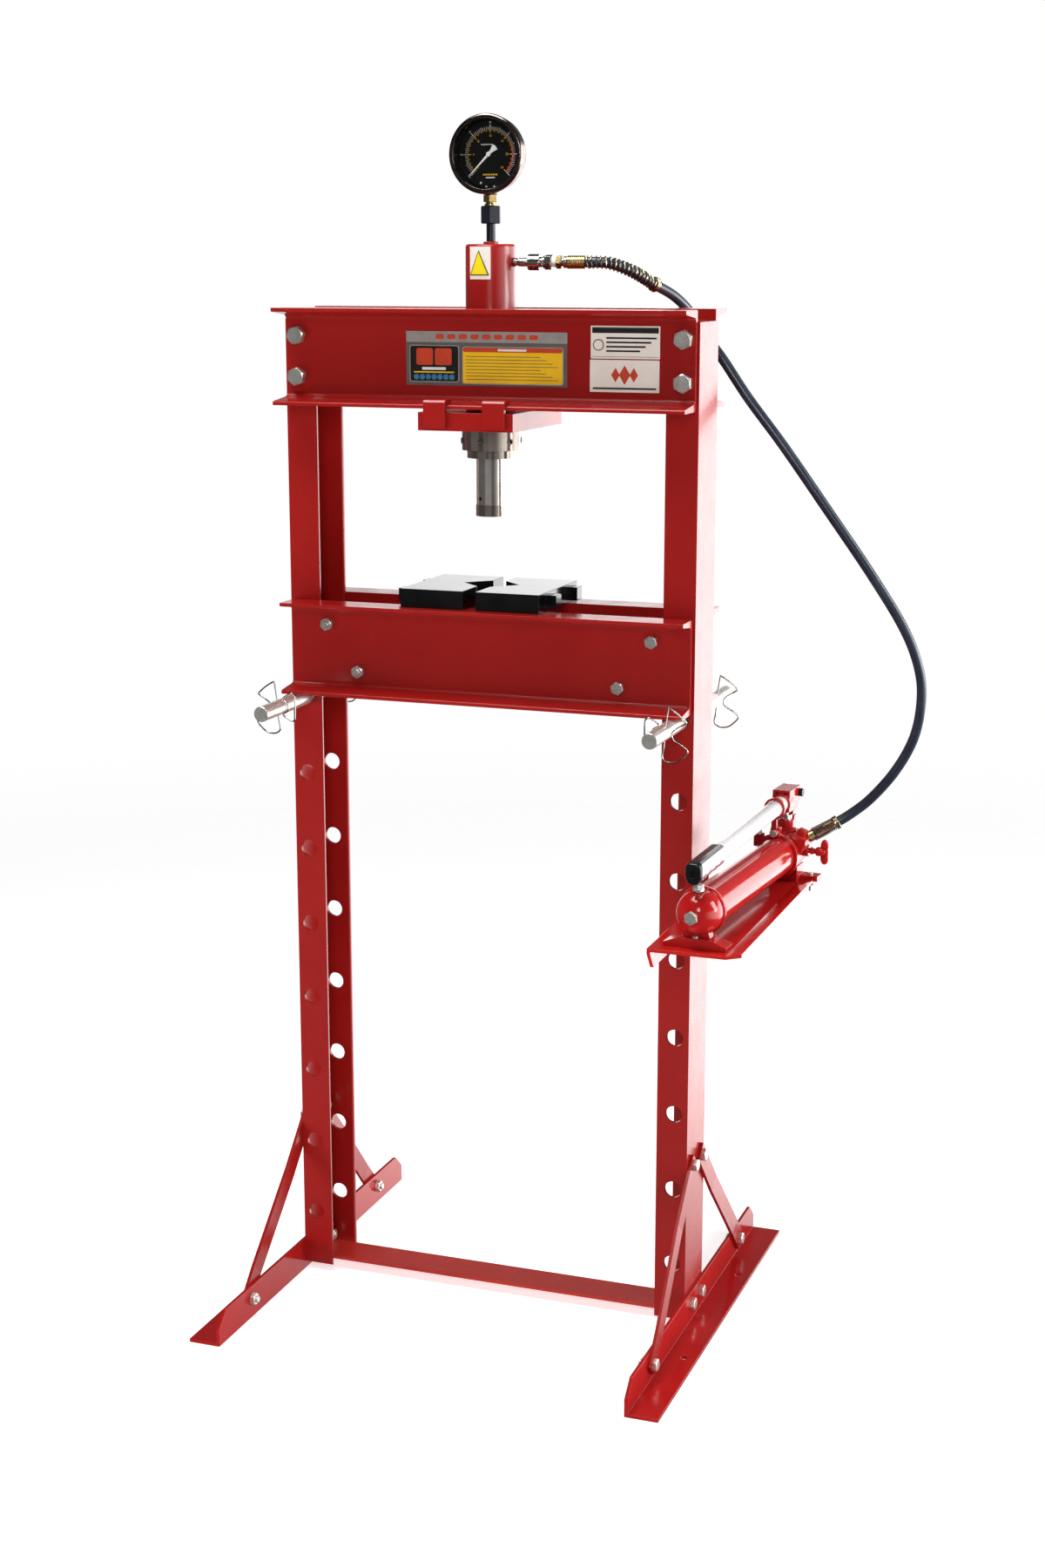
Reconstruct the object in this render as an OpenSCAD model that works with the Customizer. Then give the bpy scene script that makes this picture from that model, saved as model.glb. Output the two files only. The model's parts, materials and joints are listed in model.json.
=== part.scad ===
// Hydraulic shop press with a two-column frame, a pinned bed and a hand pump.
// X runs to the right, Y to the back, Z up. The origin is on the floor, midway
// between the columns. Every size is in millimetres.

/* [Frame] */
// Overall width over the two columns
frame_w = 636; // [620:1:660]
// Top of the columns above the floor
column_top = 1506; // [1500:1:1508]
// Underside of the crown channels
crown_z = 1382.5; // [1380:0.5:1384]
// Height of the crown channels
crown_h = 140; // [138:1:142]
// Length of each foot, front to back
foot_len = 700; // [680:10:760]

/* [Bed] */
// Distance between two neighbouring pin holes
hole_pitch = 120; // [120:1:121]
// Diameter of the pin holes in the columns
pin_hole_d = 26; // [25:0.5:27]
// Diameter of the bed pins
pin_d = 23; // [20:0.5:23]
// Height of the bed channels
bed_h = 138; // [134:1:138]

/* [Ram] */
// Distance of the ram axis from the middle of the press
ram_x = -11; // [-20:1:0]
// Outer diameter of the cylinder
barrel_d = 73; // [70:0.5:73]
// Diameter of the piston rod
rod_d = 44; // [36:1:44]

/* [Pump] */
// Height of the shelf that carries the pump
shelf_z = 664; // [650:1:670]
// Outer diameter of the pump's oil reservoir
reservoir_d = 60; // [56:1:60]

/* [Hidden] */

$fn = 48;
through = 400;            // length of a cut that goes right through
fit = 0.05;               // radial gap of a running fit
touch_gap = 0.3;          // gap between round faces of different bodies

enamel = [0.60, 0.05, 0.04];
zinc = [0.78, 0.76, 0.70];
black = [0.05, 0.05, 0.05];
brown_steel = [0.36, 0.27, 0.22];
brass = [0.80, 0.63, 0.30];
chrome = [0.75, 0.76, 0.78];
rubber = [0.10, 0.12, 0.17];

// Columns
half_w = frame_w / 2;
column_d = 95;
column_flange = 48;
steel_t = 6;
column_z = 12;
pin_x = half_w - 21.4;
pin_hole_z = 941;
hole_levels = [for (k = [-1:7]) pin_hole_z - k * hole_pitch];
crown_bolt_z = [crown_z + 39.5, crown_z + 99.5];

// Crown
crown_len = frame_w - 8;
crown_flange = 57;
crown_web_y = column_d / 2;
m16_d = 16;
m16_af = 24;

// Feet, braces and crossbar
foot_t = 5;
foot_leg = 50;
anchor_x = half_w + 31;
anchor_y = 155;
foot_bolt_y = 24.5;
foot_bolt_z = 30;
brace_low_y = 240;
brace_top_y = 23;
brace_top_z = 255;
brace_w = 30;
shelf_bolt_y = 26;
shelf_bolt_z = shelf_z - 19;
m10_d = 10;
m10_af = 17;
m10_head = 6.4;
m10_nut = 8;

// Bed
pin_z = pin_hole_z - (pin_hole_d - pin_d) / 2 + touch_gap;
bed_z = pin_z + pin_d / 2 + touch_gap;
bed_top = bed_z + bed_h;
bed_len = frame_w - 8;
bed_web_y = column_d / 2 + 1.5;
bed_flange = 48;
bed_bolt_sites = [[-255, bed_top - 34.6], [-205, bed_top - 104.6],
                  [205, bed_top - 104.6], [255, bed_top - 34.6]];
pin_front = -203;
pin_len = 400;
clip_y = [-137, 138];
clip_wire_r = 1.25;

// Arbor plates
plate_w = 98;
plate_l = 172;
plate_h = 28;
plate_y = 10;
left_plate_x = -126;
right_plate_x = -7.5;
notch_half = 34;

// Ram and head
barrel_top = 1612.5;
barrel_bottom = 1318;
bore_r = 28;
head_plate_z = 1351.5;
head_plate_h = 26;
head_plate_half = 105;
ring_nut_d = 86;
gland_z = 1307;
nose_z = 1221.7;
nose_h = 16.3;
piston_z = 1555;
port_z = 1587;
spring_z = [1337, 1554];

// Gauge
gauge_x = ram_x + 0.5;
gauge_z = 1737.5;
gauge_r = 56;

// Pump, drawn in its own turned frame: x outward, y to the back
pump_origin = [382, -230, 0];
pump_yaw = -3.8;
pump_axis_z = shelf_z + 48;
ring_y = 337;
pivot_y = 410;
pivot_z = pump_axis_z + 86;
plunger_y = 388;
plunger_top = pivot_z - 22.3;
handle_tilt = 2.4;
handle_y = 376;
handle_z = pump_axis_z + 77.8;
handle_len = 304;
clip_plate_y = 328.5;
clip_pivot_z = pump_axis_z + 38;
clip_screw_d = 6;
clip_eye_z = pump_axis_z + 76;
valve_y = 383;
valve_z = pump_axis_z + 3;

// Hose: the points it passes through, from the coupler to the pump
hose_d = 15;
hose_start = [134, 0, 1587];
hose_route = [
  hose_start, [150, 0, 1587], [170, 6, 1585], [196, 26, 1574], [218, 60, 1556],
  [236, 100, 1539], [252, 128, 1516], [272, 137, 1484], [302, 138, 1446], [341, 139, 1391],
  [396, 140, 1322], [462, 144, 1232], [528, 150, 1140], [579, 156, 1060], [602, 162, 1000],
  [606, 166, 950], [596, 172, 896], [570, 177, 844], [534, 178, 798], [502, 174, 770],
  [474, 164, 752], [452, 150, 740]
];
route_end = len(hose_route) - 1;
guard_top = [0.15, 3.6];
guard_low = [route_end - 1.45, route_end - 0.32];

// ---------- functions ----------

function unit(v) = v / norm(v);
function arc(c, r, a0, a1, n) =
  [for (i = [0:n]) c + r * [cos(a0 + (a1 - a0) * i / n), sin(a0 + (a1 - a0) * i / n)]];

// A smooth curve through the points of a list, s from 0 to len - 1
function spline(p, s) =
  let (n = len(p) - 1, i = min(floor(s), n - 1), t = s - i,
       a = p[max(i - 1, 0)], b = p[i], c = p[i + 1], d = p[min(i + 2, n)])
  0.5 * (2 * b + (c - a) * t + (2 * a - 5 * b + 4 * c - d) * t * t
         + (3 * b - a - 3 * c + d) * t * t * t);
function heading(p, s) =
  unit(spline(p, min(s + 0.02, len(p) - 1)) - spline(p, max(s - 0.02, 0)));

// One ring of a tube: centre, direction, radius, sides and a sideways hint
function ring(c, dir, r, sides, hint) =
  let (u = unit(cross(hint, dir)), v = cross(dir, u))
  [for (k = [0:sides - 1]) c + r * (cos(360 * k / sides) * u + sin(360 * k / sides) * v)];

// One ring of a wire wound round a curve, at turn angle w
function coil_ring(p, s, w, r_coil, r_wire, sides, hint) =
  let (a = heading(p, s), u = unit(cross(hint, a)), v = cross(a, u),
       out = cos(w) * u + sin(w) * v, c = spline(p, s) + r_coil * out)
  [for (k = [0:sides - 1])
    c + r_wire * (cos(360 * k / sides) * out + sin(360 * k / sides) * a)];

// Points of a rolled channel: web on x = 0, flanges towards +x, y from 0 to h
function channel_points(h, w, web, tip, root, fillet) =
  concat([[0, 0]], toe(w, tip), inner_fillet(web, root, fillet),
         [for (q = inner_fillet(web, root, fillet, true)) [q[0], h - q[1]]],
         [for (q = toe(w, tip, true)) [q[0], h - q[1]]], [[0, h]]);
function toe(w, tip, back = false) =
  let (pts = concat([[w, 0]], arc([w - 3, tip - 3], 3, 0, 90, 4)))
  back ? reverse(pts) : pts;
function inner_fillet(web, root, fillet, back = false) =
  let (pts = arc([web + fillet, root + fillet], fillet, 270, 180, 5))
  back ? reverse(pts) : pts;
function reverse(p) = [for (i = [len(p) - 1:-1:0]) p[i]];

// ---------- shared shapes ----------

module along_x(len) rotate([90, 0, 90]) linear_extrude(len, center = true) children();
module along_y(len) rotate([90, 0, 0]) linear_extrude(len, center = true) children();
module rod_x(d, x0, x1) translate([x0, 0, 0]) rotate([0, 90, 0]) cylinder(d = d, h = x1 - x0);
module rod_y(d, y0, y1) translate([0, y1, 0]) rotate([90, 0, 0]) cylinder(d = d, h = y1 - y0);
module hex_bar(af, h) cylinder(d = af / cos(30), h = h, $fn = 6);
module both_sides() {
  children();
  mirror([1, 0, 0]) children();
}
module front_and_back() {
  children();
  mirror([0, 1, 0]) children();
}

// A closed mesh over a list of rings
module skin_rings(rings, closed = false) {
  n = len(rings);
  m = len(rings[0]);
  rows = closed ? n - 1 : n - 2;
  sides = [for (i = [0:rows], k = [0:m - 1])
    [i * m + k, i * m + (k + 1) % m, ((i + 1) % n) * m + (k + 1) % m, ((i + 1) % n) * m + k]];
  ends = closed ? [] : [[for (k = [m - 1:-1:0]) k], [for (k = [0:m - 1]) (n - 1) * m + k]];
  polyhedron(points = [for (r = rings, q = r) q], faces = concat(sides, ends), convexity = 10);
}

module coil(p, s0, s1, turns, r_coil, r_wire, hint, steps = 12, sides = 5) {
  n = turns * steps;
  skin_rings([for (i = [0:n])
    coil_ring(p, s0 + (s1 - s0) * i / n, 360 * i / steps, r_coil, r_wire, sides, hint)]);
}

// Bolt along +X: its head ends at x = 0 and its shank points to -X
module bolt_in_x(d, af, head, shank) {
  rotate([0, 90, 0]) hex_bar(af, head);
  rod_x(d, -shank, 0);
}
module nut_x(d, af, h) {
  rotate([0, 90, 0]) difference() {
    hex_bar(af, h);
    translate([0, 0, -1]) cylinder(d = d + 2 * fit, h = h + 2);
  }
}
// Bolt along Y: its head points to -Y and its shank to +Y
module bolt_in_y(d, af, head, shank) {
  rotate([90, 30, 0]) hex_bar(af, head);
  rod_y(d, 0, shank);
}
module nut_y(d, af, h) {
  rotate([-90, 30, 0]) difference() {
    hex_bar(af, h);
    translate([0, 0, -1]) cylinder(d = d + 2 * fit, h = h + 2);
  }
}

// ---------- frame ----------

module column() {
  difference() {
    translate([half_w, -column_d / 2, column_z]) mirror([1, 0, 0])
      linear_extrude(column_top - column_z)
        polygon(channel_points(column_d, column_flange, steel_t, steel_t, steel_t, 3));
    for (z = hole_levels) translate([pin_x, 0, z]) rod_y(pin_hole_d, -through, through);
    for (z = crown_bolt_z) translate([pin_x, 0, z]) rod_y(m16_d + 1, -through, through);
    for (y = [-1, 1]) {
      translate([half_w, y * foot_bolt_y, foot_bolt_z]) rod_x(m10_d + 1, -20, 20);
      translate([half_w, y * brace_top_y, brace_top_z]) rod_x(m10_d + 1, -20, 20);
      translate([half_w, y * shelf_bolt_y, shelf_bolt_z]) rod_x(m10_d + 1, -20, 20);
    }
  }
}
module left_column() color(enamel) mirror([1, 0, 0]) column();
module right_column() color(enamel) column();

module crown_channel() {
  difference() {
    translate([0, crown_web_y, crown_z]) along_x(crown_len)
      polygon(channel_points(crown_h, crown_flange, steel_t, steel_t, 10.5, 8));
    for (x = [-pin_x, pin_x], z = crown_bolt_z) translate([x, 0, z]) rod_y(m16_d + 1, 0, through);
  }
}
module crown_front_channel() color(enamel) mirror([0, 1, 0]) crown_channel();
module crown_rear_channel() color(enamel) crown_channel();

module crown_bolts() color(zinc)
  front_and_back() for (x = [-pin_x, pin_x], z = crown_bolt_z)
    translate([x, -crown_web_y - steel_t, z]) bolt_in_y(m16_d, m16_af, 10, 30);
module crown_nuts() color(zinc)
  front_and_back() for (x = [-pin_x, pin_x], z = crown_bolt_z)
    translate([x, -column_d / 2 + steel_t, z]) nut_y(m16_d, m16_af, 13);

module foot() {
  chamfer = 25;
  difference() {
    union() {
      translate([half_w + foot_t / 2, 0, 0]) along_x(foot_t) polygon([
        [-foot_len / 2, 0], [foot_len / 2, 0], [foot_len / 2, 27],
        [foot_len / 2 - chamfer, foot_leg], [chamfer - foot_len / 2, foot_leg],
        [-foot_len / 2, 27]]);
      translate([half_w, -foot_len / 2, 0]) cube([foot_leg, foot_len, foot_t]);
    }
    for (y = [-1, 1]) {
      translate([anchor_x, y * anchor_y, -1]) cylinder(d = 11, h = foot_t + 2);
      translate([half_w, y * foot_bolt_y, foot_bolt_z]) rod_x(m10_d + 1, -1, 20);
      translate([half_w, y * brace_low_y, foot_bolt_z]) rod_x(m10_d + 1, -1, 20);
    }
  }
}
module left_foot() color(enamel) mirror([1, 0, 0]) foot();
module right_foot() color(enamel) foot();

// A flat bar with a small joggle where it steps off the foot's leg
module brace() {
  rise = brace_top_z - foot_bolt_z;
  run = brace_low_y - brace_top_y;
  len = norm([run, rise]);
  end = 10;
  step = [46, 210];
  difference() {
    translate([half_w, brace_low_y, foot_bolt_z]) rotate([atan2(run, rise), 0, 0])
      rotate([0, 0, -90]) rotate([0, -90, 0]) linear_extrude(brace_w, center = true) polygon([
        [-end, foot_t], [step[0], foot_t], [step[1], 0], [len + end, 0],
        [len + end, foot_t], [step[1], foot_t], [step[0], 2 * foot_t], [-end, 2 * foot_t]]);
    translate([half_w, brace_low_y, foot_bolt_z]) rod_x(m10_d + 1, -20, 40);
    translate([half_w, brace_top_y, brace_top_z]) rod_x(m10_d + 1, -20, 40);
  }
}
module braces() color(enamel) both_sides() front_and_back() brace();

// A flat strip that lies level, with an upright tab at each end for the foot bolts
module base_crossbar() color(enamel) {
  bar_x = half_w - steel_t;
  low = 15;
  tab_top = 46;
  difference() {
    union() {
      translate([-bar_x, -30, low]) cube([2 * bar_x, 60, foot_t]);
      for (x = [-bar_x, bar_x - steel_t]) translate([x, -38, low]) cube([steel_t, 76, tab_top - low]);
    }
    for (y = [-1, 1]) translate([0, y * foot_bolt_y, foot_bolt_z]) rod_x(m10_d + 1, -through, through);
  }
}

module frame_bolts() color(zinc) both_sides() front_and_back() {
  translate([half_w + foot_t, foot_bolt_y, foot_bolt_z]) bolt_in_x(m10_d, m10_af, m10_head, 27);
  translate([half_w + 2 * foot_t, brace_low_y, foot_bolt_z]) bolt_in_x(m10_d, m10_af, m10_head, 22);
  translate([half_w + foot_t, brace_top_y, brace_top_z]) bolt_in_x(m10_d, m10_af, m10_head, 22);
}
module frame_nuts() color(zinc) both_sides() front_and_back() {
  translate([half_w - 2 * steel_t - m10_nut, foot_bolt_y, foot_bolt_z]) nut_x(m10_d, m10_af, m10_nut);
  translate([half_w - m10_nut, brace_low_y, foot_bolt_z]) nut_x(m10_d, m10_af, m10_nut);
  translate([half_w - steel_t - m10_nut, brace_top_y, brace_top_z]) nut_x(m10_d, m10_af, m10_nut);
}

// ---------- pump shelf and pump ----------

module on_pump() translate(pump_origin) rotate([0, 0, pump_yaw]) children();

module pump_shelf() color(enamel) {
  front = -268;
  back = 190;
  lip_back = 155;
  flat = 112;
  lip_x = half_w + 135;
  difference() {
    union() {
      translate([half_w, front, shelf_z - foot_t]) cube([flat, back - front, foot_t]);
      translate([half_w + flat - 1, lip_back, shelf_z - foot_t])
        cube([lip_x - half_w - flat + 1, back - lip_back, foot_t]);
      translate([0, (front + lip_back) / 2, 0]) along_y(lip_back - front) polygon([
        [half_w + flat - 1, shelf_z - foot_t], [half_w + flat, shelf_z - foot_t],
        [lip_x, shelf_z], [lip_x, shelf_z + foot_t], [half_w + flat, shelf_z],
        [half_w + flat - 1, shelf_z]]);
      translate([half_w + foot_t / 2, 0, 0]) along_x(foot_t) polygon([
        [front, shelf_z - 1], [front, shelf_z - 8], [front + 18, shelf_z - 32],
        [back, shelf_z - 32], [back, shelf_z - 1]]);
    }
    for (y = [-1, 1]) translate([half_w, y * shelf_bolt_y, shelf_bolt_z]) rod_x(m10_d + 1, -1, 20);
    on_pump() for (p = pump_screw_sites) translate([p[0], p[1], 0])
      cylinder(d = foot_screw_d + 0.4, h = 2 * shelf_z);
  }
}
pump_screw_sites = [[0, -15.8], [-36, 406], [36, 406]];
foot_screw_d = 4.2;
foot_screw_head = 7.6;

module pump_screws() color(zinc) {
  on_pump() for (p = pump_screw_sites) translate([p[0], p[1], shelf_z + (p[1] < 0 ? 15 : 8)]) {
    cylinder(d = foot_screw_head, h = 2.6);
    translate([0, 0, -26]) cylinder(d = foot_screw_d, h = 26);
  }
  on_pump() translate([0, 0, clip_pivot_z]) {
    rod_y(clip_screw_d, clip_plate_y - 2, 343);
    rod_y(11, clip_plate_y - 3.4, clip_plate_y - 0.2);
  }
  front_and_back() translate([half_w + foot_t, shelf_bolt_y, shelf_bolt_z])
    bolt_in_x(m10_d, m10_af, m10_head, 22);
}

module reservoir_tube() color(enamel) on_pump() translate([0, 0, pump_axis_z]) difference() {
  rod_y(reservoir_d, 6, ring_y - 0.2);
  rod_y(reservoir_d - 8, 5, ring_y + 1);
}

module pump_end_cap() color(enamel) on_pump() {
  cap_r = 32;
  difference() {
    union() {
      translate([0, 0, pump_axis_z]) rotate([-90, 0, 0]) rotate_extrude()
        polygon(concat([[0, 18], [0, -cap_r]], arc([0, 0], cap_r, -88, 0, 16), [[cap_r, 18]]));
      translate([0, -5, shelf_z]) along_y(30) polygon([[-46, 0], [46, 0], [46, 6], [22, 15],
        [-22, 15], [-46, 6]]);
      translate([0, -4, shelf_z]) along_y(16) polygon([[-24, 1], [24, 1], [17, 26], [-17, 26]]);
    }
    translate([0, 0, pump_axis_z]) rod_y(reservoir_d + 0.1, 6, 40);
    translate([0, 0, pump_axis_z]) rod_y(reservoir_d - 8, -4, 40);
    for (p = pump_screw_sites) if (p[1] < 0) translate([p[0], p[1], 0])
      cylinder(d = foot_screw_d + 0.4, h = pump_axis_z - 20);
    translate([0, -5, pump_axis_z]) cylinder(d = 10.2, h = 60);
    translate([0, 0, pump_axis_z]) rod_y(10.2, -40, 0);
  }
}

// Oil filler, front plug, relief valve cap and the bolt on the ring's lug
module pump_plugs() on_pump() {
  color(zinc) {
    translate([0, -5, pump_axis_z + 32]) cylinder(d = 16, h = 4);
    translate([0, -5, pump_axis_z + 36]) hex_bar(14, 5);
    translate([0, -5, pump_axis_z + 20]) cylinder(d = 10, h = 12);
    translate([0, -32, pump_axis_z]) rotate([90, 0, 0]) hex_bar(17, 6);
    translate([0, 0, pump_axis_z]) rod_y(10, -32, -20);
    translate([-27, 338, pump_axis_z + 33]) hex_bar(11, 6);
  }
  color(enamel) slanted() translate([4, 12, 21]) cube([13, 13, 9]);
}
module slanted() translate([14, 350, pump_axis_z + 14]) rotate([0, 20, 0]) children();

module pump_head() color(enamel) on_pump() difference() {
  union() {
    translate([0, 0, pump_axis_z]) {
      rod_y(70, ring_y, 347);
      rod_y(62, 346, 410);
      translate([0, 410, 0]) rotate([-90, 0, 0]) rotate_extrude()
        polygon(concat([[0, -1], [31, -1]], arc([11, 0], 20, 0, 90, 8)));
    }
    translate([-34, ring_y, pump_axis_z + 14]) cube([14, 10, 19]);
    translate([-7, 334.5, pump_axis_z + 30]) cube([14, 12, 15]);
    translate([0, plunger_y, pump_axis_z]) cylinder(d = 34, h = 33);
    translate([-8, pivot_y - 6, pump_axis_z + 10]) cube([16, 12, 40]);
    translate([-6, pivot_y - 6, pump_axis_z + 10]) cube([12, 12, 76]);
    translate([0, pivot_y, pivot_z]) rod_x(12, -6, 6);
    slanted() cube([24, 52, 21]);
    translate([0, valve_y, valve_z]) rod_x(18, 20, 40);
    translate([-22, 380, shelf_z]) cube([44, 34, 24]);
    translate([-50, 394, shelf_z]) cube([100, 24, 8]);
  }
  translate([0, 0, pump_axis_z]) rod_y(reservoir_d - 8, ring_y - 1, 356);
  translate([0, plunger_y, pump_axis_z - 8]) cylinder(d = 18 + 2 * fit, h = 60);
  translate([0, pivot_y, pivot_z]) rod_x(6.4 + 2 * fit, -20, 20);
  translate([0, valve_y, valve_z]) rod_x(8 + 2 * fit, 14, 60);
  translate([0, 0, clip_pivot_z]) rod_y(clip_screw_d + 2 * fit, 325, 344);
  for (p = pump_screw_sites) if (p[1] > 0) translate([p[0], p[1], 0])
    cylinder(d = foot_screw_d + 0.4, h = shelf_z + 12);
}

module pump_cylinder() color(enamel) on_pump() difference() {
  translate([0, plunger_y, pump_axis_z + 33]) cylinder(d = 26, h = 15);
  translate([0, plunger_y, pump_axis_z]) cylinder(d = 18 + 2 * fit, h = 60);
}

module pump_plunger() color(chrome) on_pump() translate([0, plunger_y, 0]) {
  translate([0, 0, pump_axis_z]) cylinder(d = 18, h = 55);
  translate([0, 0, pump_axis_z + 54]) cylinder(d = 8, h = plunger_top - pump_axis_z - 58);
  translate([0, 0, plunger_top - 4]) sphere(d = 8);
}

module lever_yoke() color(enamel) on_pump() difference() {
  union() {
    for (x = [-13.5, 9]) translate([x + 2.25, 0, 0]) along_x(4.5) polygon(concat(
      [[360, pivot_z - 22], [404, pivot_z - 22]],
      arc([pivot_y, pivot_z - 3], 9, -70, 0, 5),
      [[pivot_y + 9, pivot_z + 3], [pivot_y + 4, pivot_z + 11], [362, pivot_z + 11]]));
    translate([-11, 362, pivot_z + 7]) cube([22, pivot_y - 360, 4]);
    translate([-11, 381, pivot_z - 22]) cube([22, 14, 4]);
    on_handle() translate([0, 0, -3]) cylinder(d = 31, h = 21);
  }
  on_handle() translate([0, 0, 0]) cylinder(d = 24.1, h = 40);
  translate([0, pivot_y, pivot_z]) rod_x(6.4 + 2 * fit, -20, 20);
  translate([-9, pivot_y - 24, pivot_z - 18]) cube([18, 60, 25]);
}

module on_handle() translate([0, handle_y, handle_z]) rotate([90 + handle_tilt, 0, 0]) children();

module handle_tube() color(chrome) on_pump() on_handle() difference() {
  cylinder(d = 24, h = handle_len);
  translate([0, 0, -1]) cylinder(d = 20, h = handle_len + 2);
}

module handle_grip() color(black) on_pump() on_handle() {
  grip_len = 103;
  translate([0, 0, handle_len]) rotate([0, -90, 0]) linear_extrude(24, center = true) difference() {
    polygon(concat([[0, 16], [0, -15], [grip_len - 10, -17], [grip_len, -12]],
      arc([grip_len - 12, 4], 12, 0, 90, 5)));
    for (k = [0:3]) translate([16 + 22 * k, -20]) circle(r = 9);
  }
  translate([0, 0, handle_len - 26]) cylinder(d = 19.8, h = 27);
}

module pivot_pin() color(black) on_pump() translate([0, pivot_y, pivot_z]) {
  rod_x(6.4, -19, 14);
  translate([13.5, 0, 0]) rotate([0, 90, 0]) hex_bar(11, 6);
}

module handle_clip() color(enamel) on_pump() difference() {
  union() {
    translate([0, clip_plate_y + 2.5, clip_eye_z]) along_y(5)
      polygon(concat(arc([0, 0], 16.2, -80, 172, 28), arc([0, 0], 12.8, 172, -80, 28)));
    translate([-4, clip_plate_y, clip_pivot_z]) cube([8, 5, clip_eye_z - clip_pivot_z - 13.6]);
    translate([0, 0, clip_pivot_z]) rod_y(13, clip_plate_y, clip_plate_y + 5);
  }
  translate([0, 0, clip_pivot_z]) rod_y(clip_screw_d + 2 * fit, 0, through);
}

module release_valve() color(enamel) on_pump() translate([0, valve_y, valve_z]) {
  rod_x(8, 16, 56);
  rod_x(14, 52, 68);
  for (z = [-13, 13]) translate([65, 0, z]) rod_y(13, -3, 3);
  translate([60, -3, -13]) cube([10, 6, 26]);
}

// ---------- hose ----------

module hose_port_fitting() color(brass) {
  p = hose_route[route_end];
  dir = heading(hose_route, route_end);
  turn_to(p, dir) {
    cylinder(d = 17, h = 8);
    translate([0, 0, 8]) cylinder(d = 12, h = 9);
  }
}
// Stands the children's +Z along a direction at a point
module turn_to(p, dir) translate(p)
  rotate([0, acos(dir[2]), atan2(dir[1], dir[0])]) children();

module hydraulic_hose() color(rubber) {
  steps = 2;
  skin_rings([for (i = [0:route_end * steps])
    ring(spline(hose_route, i / steps), heading(hose_route, i / steps), hose_d / 2, 10, [0, 1, 0])]);
}

module hose_collar(s) {
  turn_to(spline(hose_route, s), heading(hose_route, s)) difference() {
    cylinder(d = 22, h = 6, center = true);
    cylinder(d = hose_d + 1, h = 8, center = true);
  }
}
module upper_hose_guard() color(brass) {
  coil(hose_route, guard_top[0], guard_top[1], 16, 9.4, 1.1, [0, 0, 1]);
  hose_collar(guard_top[1] + 0.12);
}
module lower_hose_guard() color(brass) {
  coil(hose_route, guard_low[0], guard_low[1], 11, 9.6, 1.2, [0, 0, 1]);
  hose_collar(guard_low[0] - 0.14);
}

// ---------- ram head ----------

module at_ram() translate([ram_x, 0, 0]) children();

module ram_plate() color(enamel) at_ram() difference() {
  translate([-72.5, -head_plate_half, head_plate_z])
    cube([145, 2 * head_plate_half, head_plate_h]);
  translate([0, 0, head_plate_z - 1]) cylinder(d = barrel_d + 0.1, h = head_plate_h + 2);
}

// Four hooks that hang the ram plate on the lower lips of the crown
module head_hooks() color(enamel) at_ram() front_and_back() for (x = [-45, 45])
  translate([x, 0, 0]) along_x(33.5) polygon([
    [head_plate_half, head_plate_z + 3], [head_plate_half + 7, head_plate_z + 3],
    [head_plate_half + 7, crown_z + 9.5], [head_plate_half + 4, crown_z + 12.5],
    [88, crown_z + 14], [88, crown_z + 8.4], [head_plate_half, crown_z + 6.7]]);

module cylinder_barrel() color(enamel) at_ram() difference() {
  rotate_extrude() polygon(concat(
    [[bore_r, barrel_bottom], [barrel_d / 2, barrel_bottom]],
    arc([barrel_d / 2 - 4, barrel_top - 4], 4, 0, 90, 6),
    [[0, barrel_top], [0, barrel_top - 15], [bore_r, barrel_top - 15]]));
  translate([0, 0, port_z]) rod_x(10, 0, through);
  translate([gauge_x - ram_x, 0, barrel_top - 12]) cylinder(d = 12.2, h = 20);
}

module cylinder_gland() color(brown_steel) at_ram() rotate_extrude() polygon([
  [rod_d / 2 + fit, gland_z], [35.5, gland_z], [35.5, barrel_bottom],
  [bore_r - 0.1, barrel_bottom], [bore_r - 0.1, barrel_bottom + 17],
  [rod_d / 2 + fit, barrel_bottom + 17]]);

// Six socket screws stand a little proud of the ring
module cylinder_ring_nut() color(brown_steel) at_ram() difference() {
  union() {
    translate([0, 0, barrel_bottom + 0.6])
      cylinder(d = ring_nut_d, h = head_plate_z - barrel_bottom - 0.6);
    ring_screws() rod_x(9, 36, ring_nut_d / 2 + 1.6);
  }
  cylinder(d = barrel_d + 0.1, h = 2000);
  ring_screws() rod_x(5.5, ring_nut_d / 2 - 3, 60);
}
module ring_screws() for (a = [30:60:330]) rotate([0, 0, a]) translate([0, 0, barrel_bottom + 14])
  children();

module ram_rod() color(chrome) at_ram() {
  difference() {
    union() {
      translate([0, 0, nose_z + nose_h]) cylinder(d = rod_d, h = piston_z + 1 - nose_z - nose_h);
      translate([0, 0, piston_z]) cylinder(r = bore_r - fit, h = 30);
    }
    translate([0, 0, piston_z + 10]) difference() {
      cylinder(r = 40, h = 8);
      cylinder(r = 24, h = 8);
    }
    translate([0, 0, nose_z + nose_h - 1]) cylinder(d = 16.2, h = 16);
    translate([0, 0, nose_z + nose_h + 10]) rotate([0, 0, 215]) rod_x(4, 12, 40);
  }
}
module piston_seal() color(black) at_ram() translate([0, 0, piston_z + 10.2]) difference() {
  cylinder(r = bore_r - 0.02, h = 7.6);
  translate([0, 0, -1]) cylinder(r = 24.1, h = 10);
}
module ram_nose() color(brown_steel) at_ram() {
  translate([0, 0, nose_z]) cylinder(d = 45.5, h = nose_h);
  translate([0, 0, nose_z + 1]) cylinder(d = 16, h = nose_h + 12);
}

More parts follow.
